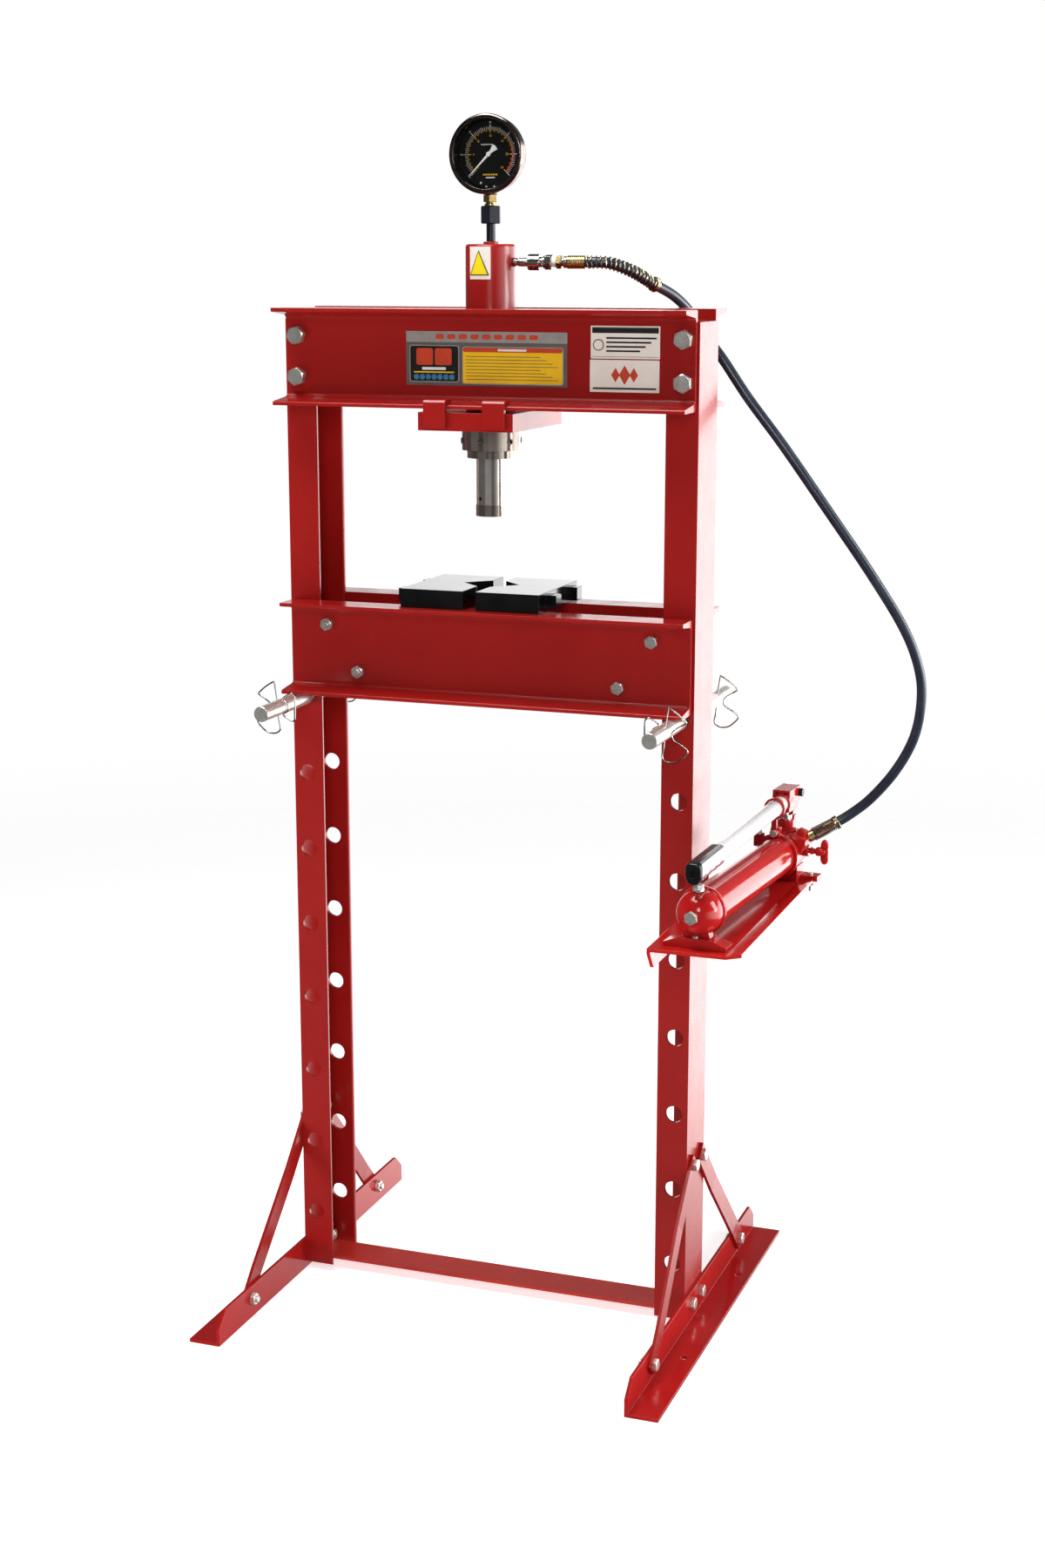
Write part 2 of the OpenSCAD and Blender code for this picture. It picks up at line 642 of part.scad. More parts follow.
module return_spring() color(zinc) at_ram()
  coil([for (k = [0:3]) [0, 0, spring_z[0] + 2 + (spring_z[1] - spring_z[0] - 4) * k / 3]],
       0, 3, 13, 25.2, 1.5, [0, 1, 0]);

// ---------- gauge ----------

module gauge_adapter() translate([gauge_x, 0, 0]) {
  color(enamel) translate([0, 0, barrel_top]) cylinder(d = 22, h = 3.5);
  color(black) translate([0, 0, barrel_top - 11]) cylinder(d = 12, h = 12);
  color(black) translate([0, 0, barrel_top + 3.5]) cylinder(d = 13, h = 25);
  color(black) translate([0, 0, barrel_top + 28.5]) hex_bar(27, 25);
  color(brass) translate([0, 0, barrel_top + 53.5]) hex_bar(19.5, 16);
}

module gauge_case() color(black) translate([gauge_x, 0, 0]) {
  translate([0, 0, gauge_z]) rotate([90, 0, 0]) rotate_extrude() polygon([
    [0, -14], [44, -14], [51, -8], [51, 18.5], [48.5, 18.5], [48.5, 0], [0, 0]]);
  translate([0, 5.5, gauge_z - 55.5]) cylinder(d = 14, h = 6.7);
}

module gauge_bezel() color(black) translate([gauge_x, 0, gauge_z]) rotate([90, 0, 0])
  rotate_extrude() polygon(concat([[51.2, 2], [54, 2], [54, 14]],
    arc([gauge_r - 4, 20], 4, 0, 90, 5), [[49, 24], [48, 20.5], [51.2, 20.5]]));

module gauge_dial() color(black) translate([gauge_x, 0, gauge_z]) difference() {
  rod_y(95, -2, -0.2);
  rod_y(4, -5, 1);
}

module gauge_lens() color([0.8, 0.9, 0.95, 0.35]) translate([gauge_x, 0, gauge_z])
  rod_y(95.6, -20.2, -17.8);

module gauge_needle() color("white") translate([gauge_x, 0, gauge_z]) rotate([0, 45, 0]) {
  rod_y(7, -11, -8);
  rod_y(3, -9, -0.7);
  translate([0, -9.3, 0]) along_y(1) polygon([
    [-1.4, 1], [-0.5, -43], [0.5, -43], [1.4, 1], [4.5, 14], [-4.5, 14]]);
}

// ---------- coupler at the cylinder port ----------

module coupler_nipple() color(zinc) translate([0, 0, port_z]) {
  rod_x(9.9, 20, 27);
  rod_x(12, 26, 48.3);
  rod_x(9.8, 48, 54.6);
}
module coupler_sleeve() color(brown_steel) translate([0, 0, port_z]) difference() {
  rod_x(23, 48.5, 65.4);
  rod_x(16 + 2 * fit, 50.2, 70);
  rod_x(10, 40, 70);
}
module coupler_socket() color(zinc) translate([0, 0, port_z]) {
  rod_x(16, 54.6, 72.8);
  translate([72.8, 0, 0]) rotate([0, 90, 0]) hex_bar(19, 11.1);
}
module hose_end_fitting() translate([0, 0, port_z]) {
  color("white") rod_x(14, 83.9, 90.4);
  color(brass) translate([90.4, 0, 0]) rotate([0, 90, 0]) hex_bar(17, 8.3);
  color(zinc) rod_x(12, 98.7, 101.5);
  color(zinc) rod_x(17, 101.5, 107);
  color(brass) rod_x(18.7, 107, hose_start[0] - 0.2);
}

// ---------- bed ----------

module bed_channel() difference() {
  translate([0, bed_web_y, bed_z]) along_x(bed_len)
    polygon(channel_points(bed_h, bed_flange, steel_t, steel_t, 10, 7));
  for (p = bed_bolt_sites) translate([p[0], 0, p[1]]) rod_y(m10_d + 1, 0, through);
}
module bed_front_channel() color(enamel) mirror([0, 1, 0]) bed_channel();
module bed_rear_channel() color(enamel) bed_channel();

module bed_spacers() color(enamel) for (p = bed_bolt_sites) translate([p[0], 0, p[1]]) difference() {
  rod_y(25, -bed_web_y, bed_web_y);
  rod_y(m10_d + 1, -through, through);
}
bed_grip = bed_web_y + steel_t;
// The left pair of bolts is fitted from the back, the right pair from the front
module bed_bolts() color(zinc) for (p = bed_bolt_sites) translate([p[0], 0, p[1]])
  mirror([0, p[0] < 0 ? 1 : 0, 0]) translate([0, -bed_grip, 0])
    bolt_in_y(m10_d, m10_af, m10_head, 2 * bed_grip + m10_nut + 3);
module bed_nuts() color(zinc) for (p = bed_bolt_sites) translate([p[0], 0, p[1]])
  mirror([0, p[0] < 0 ? 1 : 0, 0]) translate([0, bed_grip, 0]) nut_y(m10_d, m10_af, m10_nut);

module arbor_plate() {
  lug = 16;
  union() {
    translate([0, plate_y - plate_l / 2, bed_top]) linear_extrude(plate_h) polygon([
      [0, 0], [plate_w, 0], [plate_w, plate_l], [0, plate_l],
      [0, plate_l / 2 + 8 + notch_half], [notch_half, plate_l / 2 + 8],
      [0, plate_l / 2 + 8 - notch_half]]);
    for (y = [-45, 50]) translate([plate_w - 1, y, bed_top + 4]) cube([lug + 1, 22, 20]);
  }
}
module left_arbor_plate() color(black) translate([left_plate_x + plate_w, 0, 0])
  mirror([1, 0, 0]) arbor_plate();
module right_arbor_plate() color(black) translate([right_plate_x, 0, 0]) arbor_plate();

module bed_pin() translate([pin_x, 0, pin_z]) rotate([90, 0, 0]) translate([0, 0, -pin_front - pin_len])
  rotate_extrude() polygon([[0, 0], [pin_d / 2 - 1, 0], [pin_d / 2, 1],
    [pin_d / 2, pin_len - 1], [pin_d / 2 - 1, pin_len], [0, pin_len]]);
module left_bed_pin() color(zinc) mirror([1, 0, 0]) bed_pin();
module right_bed_pin() color(zinc) translate([0, 6, 0]) bed_pin();

// A wire loop that passes round the pin, with one ear above and one below it
clip_loop = [
  [0, -20, 18], [0, -17, 25], [0, 4, 36], [0, 8, 34], [0, 9, 18], [-12, 7, 7], [-14, 4, -5],
  [-4, -14, -17], [0, -17, -34], [0, -10, -43], [0, 5, -44], [0, 11, -37], [4, 9, -18],
  [14, 2, -6], [14, -6, 5], [8, -15, 13]];
module wire_loop() {
  n = len(clip_loop);
  wrapped = concat([clip_loop[n - 1]], clip_loop, [clip_loop[0], clip_loop[1]]);
  skin_rings([for (i = [0:2 * n - 1])
    ring(spline(wrapped, 1 + i / 2), heading(wrapped, 1 + i / 2), clip_wire_r, 6, [1, 0, 0])],
    closed = true);
}
module left_pin_clips() color(zinc) for (y = clip_y) translate([-pin_x, y, pin_z]) wire_loop();
module right_pin_clips() color(zinc) for (y = clip_y) translate([pin_x, y, pin_z])
  mirror([1, 0, 0]) wire_loop();

left_column();
right_column();
crown_front_channel();
crown_rear_channel();
crown_bolts();
crown_nuts();
left_foot();
right_foot();
braces();
base_crossbar();
frame_bolts();
frame_nuts();
pump_shelf();
pump_screws();
reservoir_tube();
pump_end_cap();
pump_plugs();
pump_head();
pump_cylinder();
hose_port_fitting();
lower_hose_guard();
hydraulic_hose();
ram_plate();
head_hooks();
cylinder_barrel();
cylinder_gland();
cylinder_ring_nut();
gauge_adapter();
gauge_case();
gauge_bezel();
gauge_dial();
gauge_lens();
coupler_nipple();
coupler_socket();
hose_end_fitting();
upper_hose_guard();
return_spring();
gauge_needle();
coupler_sleeve();
ram_rod();
piston_seal();
ram_nose();
bed_front_channel();
bed_rear_channel();
bed_spacers();
bed_bolts();
bed_nuts();
left_arbor_plate();
right_arbor_plate();
left_bed_pin();
right_bed_pin();
left_pin_clips();
right_pin_clips();
lever_yoke();
handle_tube();
handle_grip();
pivot_pin();
pump_plunger();
handle_clip();
release_valve();
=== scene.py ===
"""Looks of the hydraulic shop press: camera, light, materials and detailed pieces round the CAD frame."""
import json
import math
import random

import bpy
from mathutils import Matrix, Vector


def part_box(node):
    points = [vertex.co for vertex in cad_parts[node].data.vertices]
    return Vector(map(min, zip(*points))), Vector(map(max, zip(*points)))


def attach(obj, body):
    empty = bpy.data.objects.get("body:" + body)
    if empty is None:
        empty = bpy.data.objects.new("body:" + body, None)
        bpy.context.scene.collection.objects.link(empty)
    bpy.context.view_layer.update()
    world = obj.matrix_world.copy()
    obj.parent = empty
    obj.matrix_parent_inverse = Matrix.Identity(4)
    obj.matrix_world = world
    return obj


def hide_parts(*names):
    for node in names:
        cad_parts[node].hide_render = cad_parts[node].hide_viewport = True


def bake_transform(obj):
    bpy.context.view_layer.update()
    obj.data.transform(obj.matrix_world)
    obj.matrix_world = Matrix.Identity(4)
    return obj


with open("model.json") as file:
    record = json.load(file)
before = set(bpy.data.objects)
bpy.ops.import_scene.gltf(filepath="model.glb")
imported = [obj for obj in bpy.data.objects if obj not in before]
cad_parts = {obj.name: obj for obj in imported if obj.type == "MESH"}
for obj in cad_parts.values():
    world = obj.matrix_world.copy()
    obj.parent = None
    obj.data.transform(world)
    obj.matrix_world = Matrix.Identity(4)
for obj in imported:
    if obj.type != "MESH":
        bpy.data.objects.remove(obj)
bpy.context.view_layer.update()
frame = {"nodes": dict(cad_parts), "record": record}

MM = 0.001
random.seed(7)


# ---------- camera ----------

SENSOR_HEIGHT = 36
LENS = 53.78
CAMERA_PLACE = (1.2224, -3.2399, 1.5894)
CAMERA_DEGREES = (77.403, 0.0, 20.082)


def add_camera():
    """The camera stands to the right of the press at head height and looks down a little."""
    data = bpy.data.cameras.new("camera")
    data.sensor_fit = "VERTICAL"
    data.sensor_height = SENSOR_HEIGHT
    data.lens = LENS
    camera = bpy.data.objects.new("camera", data)
    camera.location = CAMERA_PLACE
    camera.rotation_euler = [math.radians(a) for a in CAMERA_DEGREES]
    bpy.context.scene.collection.objects.link(camera)
    bpy.context.scene.camera = camera


add_camera()


# ---------- meshes from rings of points ----------

class Shape:
    """Points and faces of one piece, collected part by part."""

    def __init__(self):
        self.points = []
        self.faces = []

    def add(self, part, at=Matrix()):
        points, faces = part
        first = len(self.points)
        self.points += [at @ Vector(p) for p in points]
        self.faces += [[first + i for i in face] for face in faces]
        return self


def loft(rings, closed=False):
    """Skins a list of rings that have the same number of points. The ends get caps unless it is closed."""
    count, sides = len(rings), len(rings[0])
    points = [p for ring in rings for p in ring]
    faces = []
    for i in range(count if closed else count - 1):
        j = (i + 1) % count
        for k in range(sides):
            m = (k + 1) % sides
            faces.append([i * sides + k, i * sides + m, j * sides + m, j * sides + k])
    if not closed:
        faces.append(list(range(sides))[::-1])
        faces.append([(count - 1) * sides + k for k in range(sides)])
    return points, faces


def circle(radius, z, sides):
    return [(radius * math.cos(2 * math.pi * k / sides), radius * math.sin(2 * math.pi * k / sides), z)
            for k in range(sides)]


def lathe(profile, sides, closed=False):
    """Turns a list of (radius, z) about Z. A closed profile makes a ring with a hole."""
    return loft([circle(max(r, 1e-5), z, sides) for r, z in profile], closed)


def extrude(outline, low, high):
    """A prism over an outline in XY."""
    return loft([[(x, y, z) for x, y in outline] for z in (low, high)])


def rounded(width, height, radius):
    """Outline of a rectangle with round corners, centred on the origin."""
    steps = 4
    points = []
    for cx, cy, start in ((1, 1, 0), (-1, 1, 90), (-1, -1, 180), (1, -1, 270)):
        for i in range(steps + 1):
            a = math.radians(start + 90 * i / steps)
            points.append((cx * (width / 2 - radius) + radius * math.cos(a),
                           cy * (height / 2 - radius) + radius * math.sin(a)))
    return points


def hex_body(across, height, chamfer_low=False, inner=0.0):
    """A hexagonal head with the turned chamfer on its top, and on its bottom too for a nut."""
    sides = 48
    flat = across / 2
    land = flat * 0.93
    slope = math.tan(math.radians(28))

    def hex_ring(level):
        """One ring of the hexagon. level turns the chamfer's depth at a point into the point's height."""
        points = []
        for k in range(sides):
            a = 2 * math.pi * k / sides
            r = flat / math.cos((a + math.pi / 6) % (math.pi / 3) - math.pi / 6)
            drop = max(0.0, r - land) * slope
            points.append((r * math.cos(a), r * math.sin(a), level(drop)))
        return points

    if chamfer_low:
        rings = [circle(land, 0, sides), hex_ring(lambda drop: drop)]
    else:
        rings = [hex_ring(lambda drop: 0.0)]
    rings += [hex_ring(lambda drop: height - drop), circle(land, height, sides)]
    if inner:
        lip = inner * 1.12
        rings += [circle(lip, height, sides), circle(inner, height - (lip - inner), sides),
                  circle(inner, lip - inner, sides), circle(lip, 0, sides)]
    return loft(rings, closed=bool(inner))


def thread(radius, low, high, pitch):
    """A threaded shank: a lathe profile with one groove for each turn, and a chamfered end."""
    depth = 0.55 * pitch
    profile = [(0, low), (radius, low)]
    z = low
    while z + pitch < high - depth:
        profile += [(radius, z + 0.1 * pitch), (radius - depth, z + 0.5 * pitch), (radius, z + 0.9 * pitch)]
        z += pitch
    profile += [(radius, high - depth), (radius - depth, high), (0, high)]
    return lathe(profile, 28)


def spline(points, s, wrap=False):
    """Point of a smooth curve through a list, s from 0 to the last index."""
    n = len(points)
    i = int(math.floor(s))
    if not wrap:
        i = max(0, min(i, n - 2))
    t = s - i

    def at(k):
        return Vector(points[k % n] if wrap else points[max(0, min(k, n - 1))])

    a, b, c, d = at(i - 1), at(i), at(i + 1), at(i + 2)
    return 0.5 * (2 * b + (c - a) * t + (2 * a - 5 * b + 4 * c - d) * t * t
                  + (3 * b - a - 3 * c + d) * t * t * t)


def tube(path, radius, sides, closed=False):
    """Sweeps a circle along a list of points without twist."""
    n = len(path)
    rings = []
    side = None
    for i in range(n):
        before = path[(i - 1) % n] if closed or i else path[0]
        after = path[(i + 1) % n] if closed or i < n - 1 else path[-1]
        along = (after - before).normalized()
        if side is None:
            side = along.orthogonal().normalized()
        side = (side - along * side.dot(along)).normalized()
        up = along.cross(side)
        rings.append([path[i] + radius * (math.cos(2 * math.pi * k / sides) * side
                                          + math.sin(2 * math.pi * k / sides) * up)
                      for k in range(sides)])
    return loft(rings, closed)


def frame_at(origin, along):
    """A matrix that stands +Z along a direction at a point."""
    z = Vector(along).normalized()
    x = Vector((0, 0, 1)).cross(z)
    x = x.normalized() if x.length > 1e-4 else z.orthogonal().normalized()
    y = z.cross(x)
    m = Matrix((x, y, z)).transposed().to_4x4()
    m.translation = Vector(origin)
    return m


def place(x=0.0, y=0.0, z=0.0):
    return Matrix.Translation((x, y, z))


def middle(node):
    """Centre of a CAD node's box."""
    return [(a + b) / 2 for a, b in zip(*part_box(node))]


def turn(angle, axis):
    return Matrix.Rotation(math.radians(angle), 4, axis)


def millimetres(at):
    """The same place for a shape that is drawn in millimetres."""
    return at @ Matrix.Scale(MM, 4)


def piece(name, shape, material, body, replaces=(), smooth=32):
    """Makes the object, gives it its material and hangs it on its CAD body.

    Edges that turn by more than smooth degrees stay sharp.
    """
    mesh = bpy.data.meshes.new(name)
    mesh.from_pydata([tuple(p) for p in shape.points], [], shape.faces)
    mesh.validate()
    mesh.polygons.foreach_set("use_smooth", [True] * len(mesh.polygons))
    mesh.set_sharp_from_angle(angle=math.radians(smooth))
    mesh.materials.append(material)
    obj = bpy.data.objects.new(name, mesh)
    bpy.context.scene.collection.objects.link(obj)
    if body:
        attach(obj, body)
    if replaces:
        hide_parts(*replaces)
    return obj


# ---------- materials ----------

def shader_tree(owner, output):
    """The emptied node tree of a material or world, and the socket that takes its shader."""
    owner.use_nodes = True
    owner.node_tree.nodes.clear()
    return owner.node_tree, add_node(owner.node_tree, output, {}).inputs["Surface"]


def add_node(tree, kind, inputs, **settings):
    """A shader node with its settings, and its inputs linked to sockets or set to values."""
    node = tree.nodes.new("ShaderNode" + kind)
    for key, value in settings.items():
        setattr(node, key, value)
    for key, value in inputs.items():
        if isinstance(value, bpy.types.NodeSocket):
            tree.links.new(value, node.inputs[key])
        else:
            node.inputs[key].default_value = value
    return node


def eased(tree, value, low, high, to_low, to_high):
    """Turns low to high into to_low to to_high with an S-shaped curve."""
    ends = {"Value": value, "From Min": low, "From Max": high, "To Min": to_low, "To Max": to_high}
    return add_node(tree, "MapRange", ends, interpolation_type="SMOOTHSTEP").outputs["Result"]


def product(tree, a, b):
    return add_node(tree, "Math", {0: a, 1: b}, operation="MULTIPLY").outputs[0]


class Surface:
    """A procedural material on one Principled shader, in the frame's own metres."""

    def __init__(self, name, **sockets):
        self.material = bpy.data.materials.new(name)
        self.tree, out = shader_tree(self.material, "OutputMaterial")
        self.shader = self.node("BsdfPrincipled", {key.replace("_", " "): v for key, v in sockets.items()})
        self.tree.links.new(self.shader.outputs[0], out)
        self.where = self.node("TexCoord", {}).outputs["Object"]
        self.normal = None

    def node(self, kind, inputs, **settings):
        return add_node(self.tree, kind, inputs, **settings)

    def stretched(self, scale):
        return self.node("Mapping", {"Vector": self.where, "Scale": scale}).outputs[0]

    def noise(self, scale, detail, rough=0.55, where=None):
        inputs = {"Vector": where or self.where, "Scale": scale, "Detail": detail, "Roughness": rough}
        return self.node("TexNoise", inputs).outputs["Fac"]

    def ranged(self, value, low, high, to_low, to_high):
        return eased(self.tree, value, low, high, to_low, to_high)

    def mixed(self, factor, a, b):
        a, b = ((*c, 1) if isinstance(c, tuple) else c for c in (a, b))
        return self.node("Mix", {"Factor": factor, "A": a, "B": b}, data_type="RGBA").outputs["Result"]

    def soften(self, radius):
        """Rounds the look of sharp edges."""
        self.normal = self.node("Bevel", {"Radius": radius}, samples=6).outputs[0]

    def edges(self, low, high):
        """1 on the softened edges, 0 on the flats."""
        flat = self.node("NewGeometry", {}).outputs["True Normal"]
        away = self.node("VectorMath", {0: flat, 1: self.normal}, operation="DISTANCE")
        return self.ranged(away.outputs["Value"], low, high, 0.0, 1.0)

    def bump(self, height, distance):
        inputs = {"Strength": 0.8, "Distance": distance, "Height": height}
        if self.normal is not None:
            inputs["Normal"] = self.normal
        self.normal = self.node("Bump", inputs).outputs[0]

    def drive(self, key, socket):
        self.tree.links.new(socket, self.shader.inputs[key])

    def done(self):
        if self.normal is not None:
            self.drive("Normal", self.normal)
        return self.material


def darker(colour, share):
    return tuple(share * c for c in colour)


def lighter(colour, times, lift=0.0):
    return tuple(min(1.0, lift + times * c) for c in colour)


def enamel(name, deep, bright, softness=0.0012, peel=0.00008, rough=(0.22, 0.27)):
    """Glossy sprayed enamel: orange peel, slow tone changes, chips and a painted highlight along the edges.
    """
    s = Surface(name, Coat_Weight=0.15, Coat_Roughness=0.08, IOR=1.42)
    s.soften(softness)
    edge = s.edges(0.1, 0.8)
    chips = product(s.tree, edge, s.ranged(s.noise(150, 5, 0.7), 0.60, 0.66, 0.0, 0.8))
    tone = s.mixed(s.ranged(s.noise(5, 3), 0.25, 0.75, 0.0, 1.0), deep, bright)
    fine = s.mixed(s.ranged(s.noise(700, 2), 0.45, 0.75, 0.0, 0.3), tone, darker(deep, 0.6))
    # Lighter red on the softened edges is a painted highlight where the edges catch the light; the dark chips
    # are wear.
    thin = s.mixed(s.ranged(edge, 0.0, 1.0, 0.0, 0.25), fine, lighter(bright, 1.4))
    s.drive("Base Color", s.mixed(chips, thin, (0.12, 0.10, 0.09)))
    s.drive("Roughness", s.ranged(s.noise(30, 3, 0.5), 0.3, 0.7, *rough))
    s.bump(s.noise(260, 2, 0.5), peel)
    return s.done()


def metal(name, base, other, rough, softness=0.0008, brush=None, grime=0.3, bump=0.00003, spots=160,
          metallic=1.0, painted_reflection_streaks=0.0):
    """Bare or plated metal: cloudy plating, fine machining marks, darker grime, painted highlights on the
    edges and painted dark reflection bands.

    softness is the width of the painted edge highlights, brush the scale of the marks along each axis, and
    painted_reflection_streaks the strength of dark upright bands painted as reflections.
    """
    s = Surface(name, Metallic=metallic, IOR=1.6)
    cloud = s.mixed(s.ranged(s.noise(spots, 5), 0.35, 0.68, 0.0, 1.0), base, other)
    dirt = s.ranged(s.noise(38, 6, 0.65), 0.52, 0.74, 0.0, grime)
    grime_and_painted_light = s.mixed(dirt, cloud, darker(other, 0.35))
    if softness:
        s.soften(softness)
        edge = s.edges(0.08, 0.6)
        # Lighter base colour on the softened edges is a painted highlight.
        grime_and_painted_light = s.mixed(s.ranged(edge, 0.0, 1.0, 0.0, 0.45), grime_and_painted_light, lighter(base, 1.25))
    if painted_reflection_streaks:
        # Dark upright bands: a painted reflection of dark surroundings on round parts.
        lines = s.ranged(s.noise(1.0, 3, 0.5, s.stretched((95, 95, 1.2))), 0.44, 0.60, 0.0, painted_reflection_streaks)
        grime_and_painted_light = s.mixed(lines, grime_and_painted_light, darker(other, 0.22))
    s.drive("Base Color", grime_and_painted_light)
    marks = s.noise(1.0, 3, 0.6, s.stretched(brush)) if brush else s.noise(700, 3)
    s.drive("Roughness", s.ranged(marks, 0.25, 0.75, *rough))
    s.bump(marks, bump)
    return s.done()


def plastic(name, base, other, rough, scale, bump, softness=0.0008, coat=0.0, spec=0.5):
    """Paint, moulded plastic or rubber with a fine grain and slow tone changes."""
    s = Surface(name, Coat_Weight=coat, Coat_Roughness=0.1, Specular_IOR_Level=spec)
    if softness:
        s.soften(softness)
    cloud = s.mixed(s.ranged(s.noise(25, 5), 0.3, 0.7, 0.0, 1.0), base, other)
    dust = s.ranged(s.noise(scale * 3, 3), 0.55, 0.8, 0.0, 0.04)
    s.drive("Base Color", s.mixed(dust, cloud, lighter(other, 1.6, 0.02)))
    s.drive("Roughness", s.ranged(s.noise(60, 4), 0.3, 0.7, *rough))
    s.bump(s.noise(scale, 3), bump)
    return s.done()


def ink(name, base, other):
    """Flat print on a label or a dial."""
    return plastic(name, base, other, (0.3, 0.45), 900, 0.00001, 0.0003)


def glass():
    s = Surface("gauge_glass", IOR=1.4, Roughness=0.04, Alpha=0.06)
    cloud = s.ranged(s.noise(60, 3), 0.3, 0.7, 0.0, 1.0)
    s.drive("Base Color", s.mixed(cloud, (0.010, 0.012, 0.012), (0.016, 0.018, 0.018)))
    return s.done()


RED = enamel("red_enamel", (0.29, 0.0075, 0.0062), (0.34, 0.0105, 0.0085))
# The shelf's red is a lit copy of the frame red, painted lighter for the light on its top face.
RED_SHELF_LIT = enamel("red_enamel_shelf_lit", (0.48, 0.012, 0.011), (0.55, 0.015, 0.014),
                   peel=0.00004, rough=(0.10, 0.13))
# The feet's red is a lit copy of the frame red, painted lighter for the light on their top flanges.
RED_FEET_LIT = enamel("red_enamel_feet_lit", (0.36, 0.009, 0.009), (0.42, 0.012, 0.011),
                  peel=0.00006, rough=(0.13, 0.17))
# The crossbar's red is a lit copy, painted lighter and warmer for the light on its upward face; its coarse
# grain is real.
RED_GRAIN_LIT = enamel("red_enamel_grainy_lit", (0.42, 0.020, 0.014), (0.52, 0.030, 0.020),
                   peel=0.0005, rough=(0.3, 0.4))
RED_CAST = enamel("red_enamel_cast", (0.38, 0.009, 0.0085), (0.45, 0.013, 0.012),
                  softness=0.0022, peel=0.00006, rough=(0.10, 0.16))
ZINC = metal("zinc_plated", (0.80, 0.79, 0.74), (0.68, 0.66, 0.60), (0.24, 0.38),
             grime=0.15, bump=0.00001, spots=70, metallic=0.8)
NICKEL = metal("nickel_plated", (0.66, 0.64, 0.60), (0.50, 0.48, 0.45), (0.14, 0.26),
               softness=0.0005, bump=0.000005)
BRIGHT = metal("bright_steel", (0.86, 0.86, 0.87), (0.76, 0.76, 0.78), (0.08, 0.22),
               softness=0.0006, brush=(60, 60, 2600), grime=0.1, bump=0.000012)
CHROME = metal("satin_tube", (0.97, 0.97, 0.98), (0.92, 0.92, 0.94), (0.24, 0.34), softness=0.0006,
               brush=(900, 30, 900), grime=0.04, bump=0.000005, spots=60, metallic=0.4)
SILVER = metal("silver_grip", (0.80, 0.80, 0.82), (0.70, 0.70, 0.72), (0.16, 0.26), softness=0.0009,
               grime=0.1, bump=0.000005, spots=60, metallic=0.9)
# Turned steel and the rod get dark upright bands painted as reflections.
TURNED = metal("turned_steel", (0.36, 0.31, 0.27), (0.28, 0.24, 0.21), (0.12, 0.20), softness=0.0,
               brush=(30, 30, 1500), grime=0.2, bump=0.000003, spots=40, metallic=0.7, painted_reflection_streaks=0.6)
ROD = metal("ground_rod", (0.64, 0.60, 0.55), (0.54, 0.50, 0.46), (0.08, 0.14), softness=0.0,
            brush=(30, 30, 1800), grime=0.1, bump=0.000002, spots=40, metallic=0.62, painted_reflection_streaks=0.7)
BRASS = metal("brass", (0.66, 0.49, 0.22), (0.48, 0.34, 0.14), (0.2, 0.36), softness=0.0006)
GOLD_ZINC = metal("yellow_zinc_wire", (0.46, 0.39, 0.25), (0.30, 0.25, 0.16), (0.2, 0.34), softness=0.0)
BEZEL = metal("bezel_steel", (0.20, 0.16, 0.145), (0.13, 0.10, 0.09), (0.12, 0.22), grime=0.2, bump=0.000004)
BLACK = plastic("black_paint", (0.0030, 0.0031, 0.0035), (0.006, 0.006, 0.007), (0.13, 0.145), 420,
                0.00001, softness=0.0011, spec=0.45)
OXIDE = plastic("blue_black_oxide", (0.006, 0.008, 0.014), (0.012, 0.015, 0.024), (0.3, 0.45), 500,
                0.00002, spec=0.3)
DIAL = plastic("dial_black", (0.003, 0.003, 0.003), (0.006, 0.006, 0.006), (0.4, 0.55), 900,
               0.00001, spec=0.12)
WHITE = plastic("needle_white", (0.80, 0.78, 0.74), (0.70, 0.68, 0.64), (0.35, 0.5), 600,
                0.00002, softness=0.0003)
# The blue tint in the hose rubber's colour is a painted sheen, standing in for a reflection.
RUBBER = plastic("hose_rubber", (0.014, 0.021, 0.036), (0.022, 0.031, 0.050), (0.28, 0.36), 260,
                 0.0000005, softness=0.0, coat=0.1)
SEAL = plastic("seal_rubber", (0.014, 0.014, 0.015), (0.03, 0.03, 0.03), (0.5, 0.7), 500, 0.00005)
GRIP = plastic("grip_black", (0.004, 0.004, 0.0045), (0.009, 0.009, 0.010), (0.22, 0.34), 800,
               0.00003, softness=0.001, spec=0.35)
GLASS = glass()
SILVER_PRINT = metal("print_silver", (0.56, 0.53, 0.50), (0.48, 0.45, 0.42), (0.35, 0.5),
                     softness=0.0003, grime=0.15, bump=0.00001, spots=60, metallic=0.6)
GREY_PRINT = ink("print_grey", (0.105, 0.090, 0.078), (0.13, 0.112, 0.10))
BLACK_PRINT = ink("print_black", (0.008, 0.008, 0.008), (0.014, 0.014, 0.013))
CREAM_PRINT = ink("print_cream", (0.86, 0.80, 0.72), (0.80, 0.74, 0.66))
LEMON_PRINT = ink("print_lemon", (0.90, 0.74, 0.01), (0.84, 0.68, 0.01))
YELLOW_PRINT = ink("print_yellow", (0.92, 0.55, 0.01), (0.86, 0.50, 0.01))
RED_PRINT = ink("print_red", (0.60, 0.06, 0.02), (0.52, 0.05, 0.018))
BLUE_PRINT = ink("print_blue", (0.035, 0.17, 0.34), (0.05, 0.22, 0.40))
OCHRE_PRINT = ink("print_ochre", (0.34, 0.24, 0.05), (0.28, 0.19, 0.04))

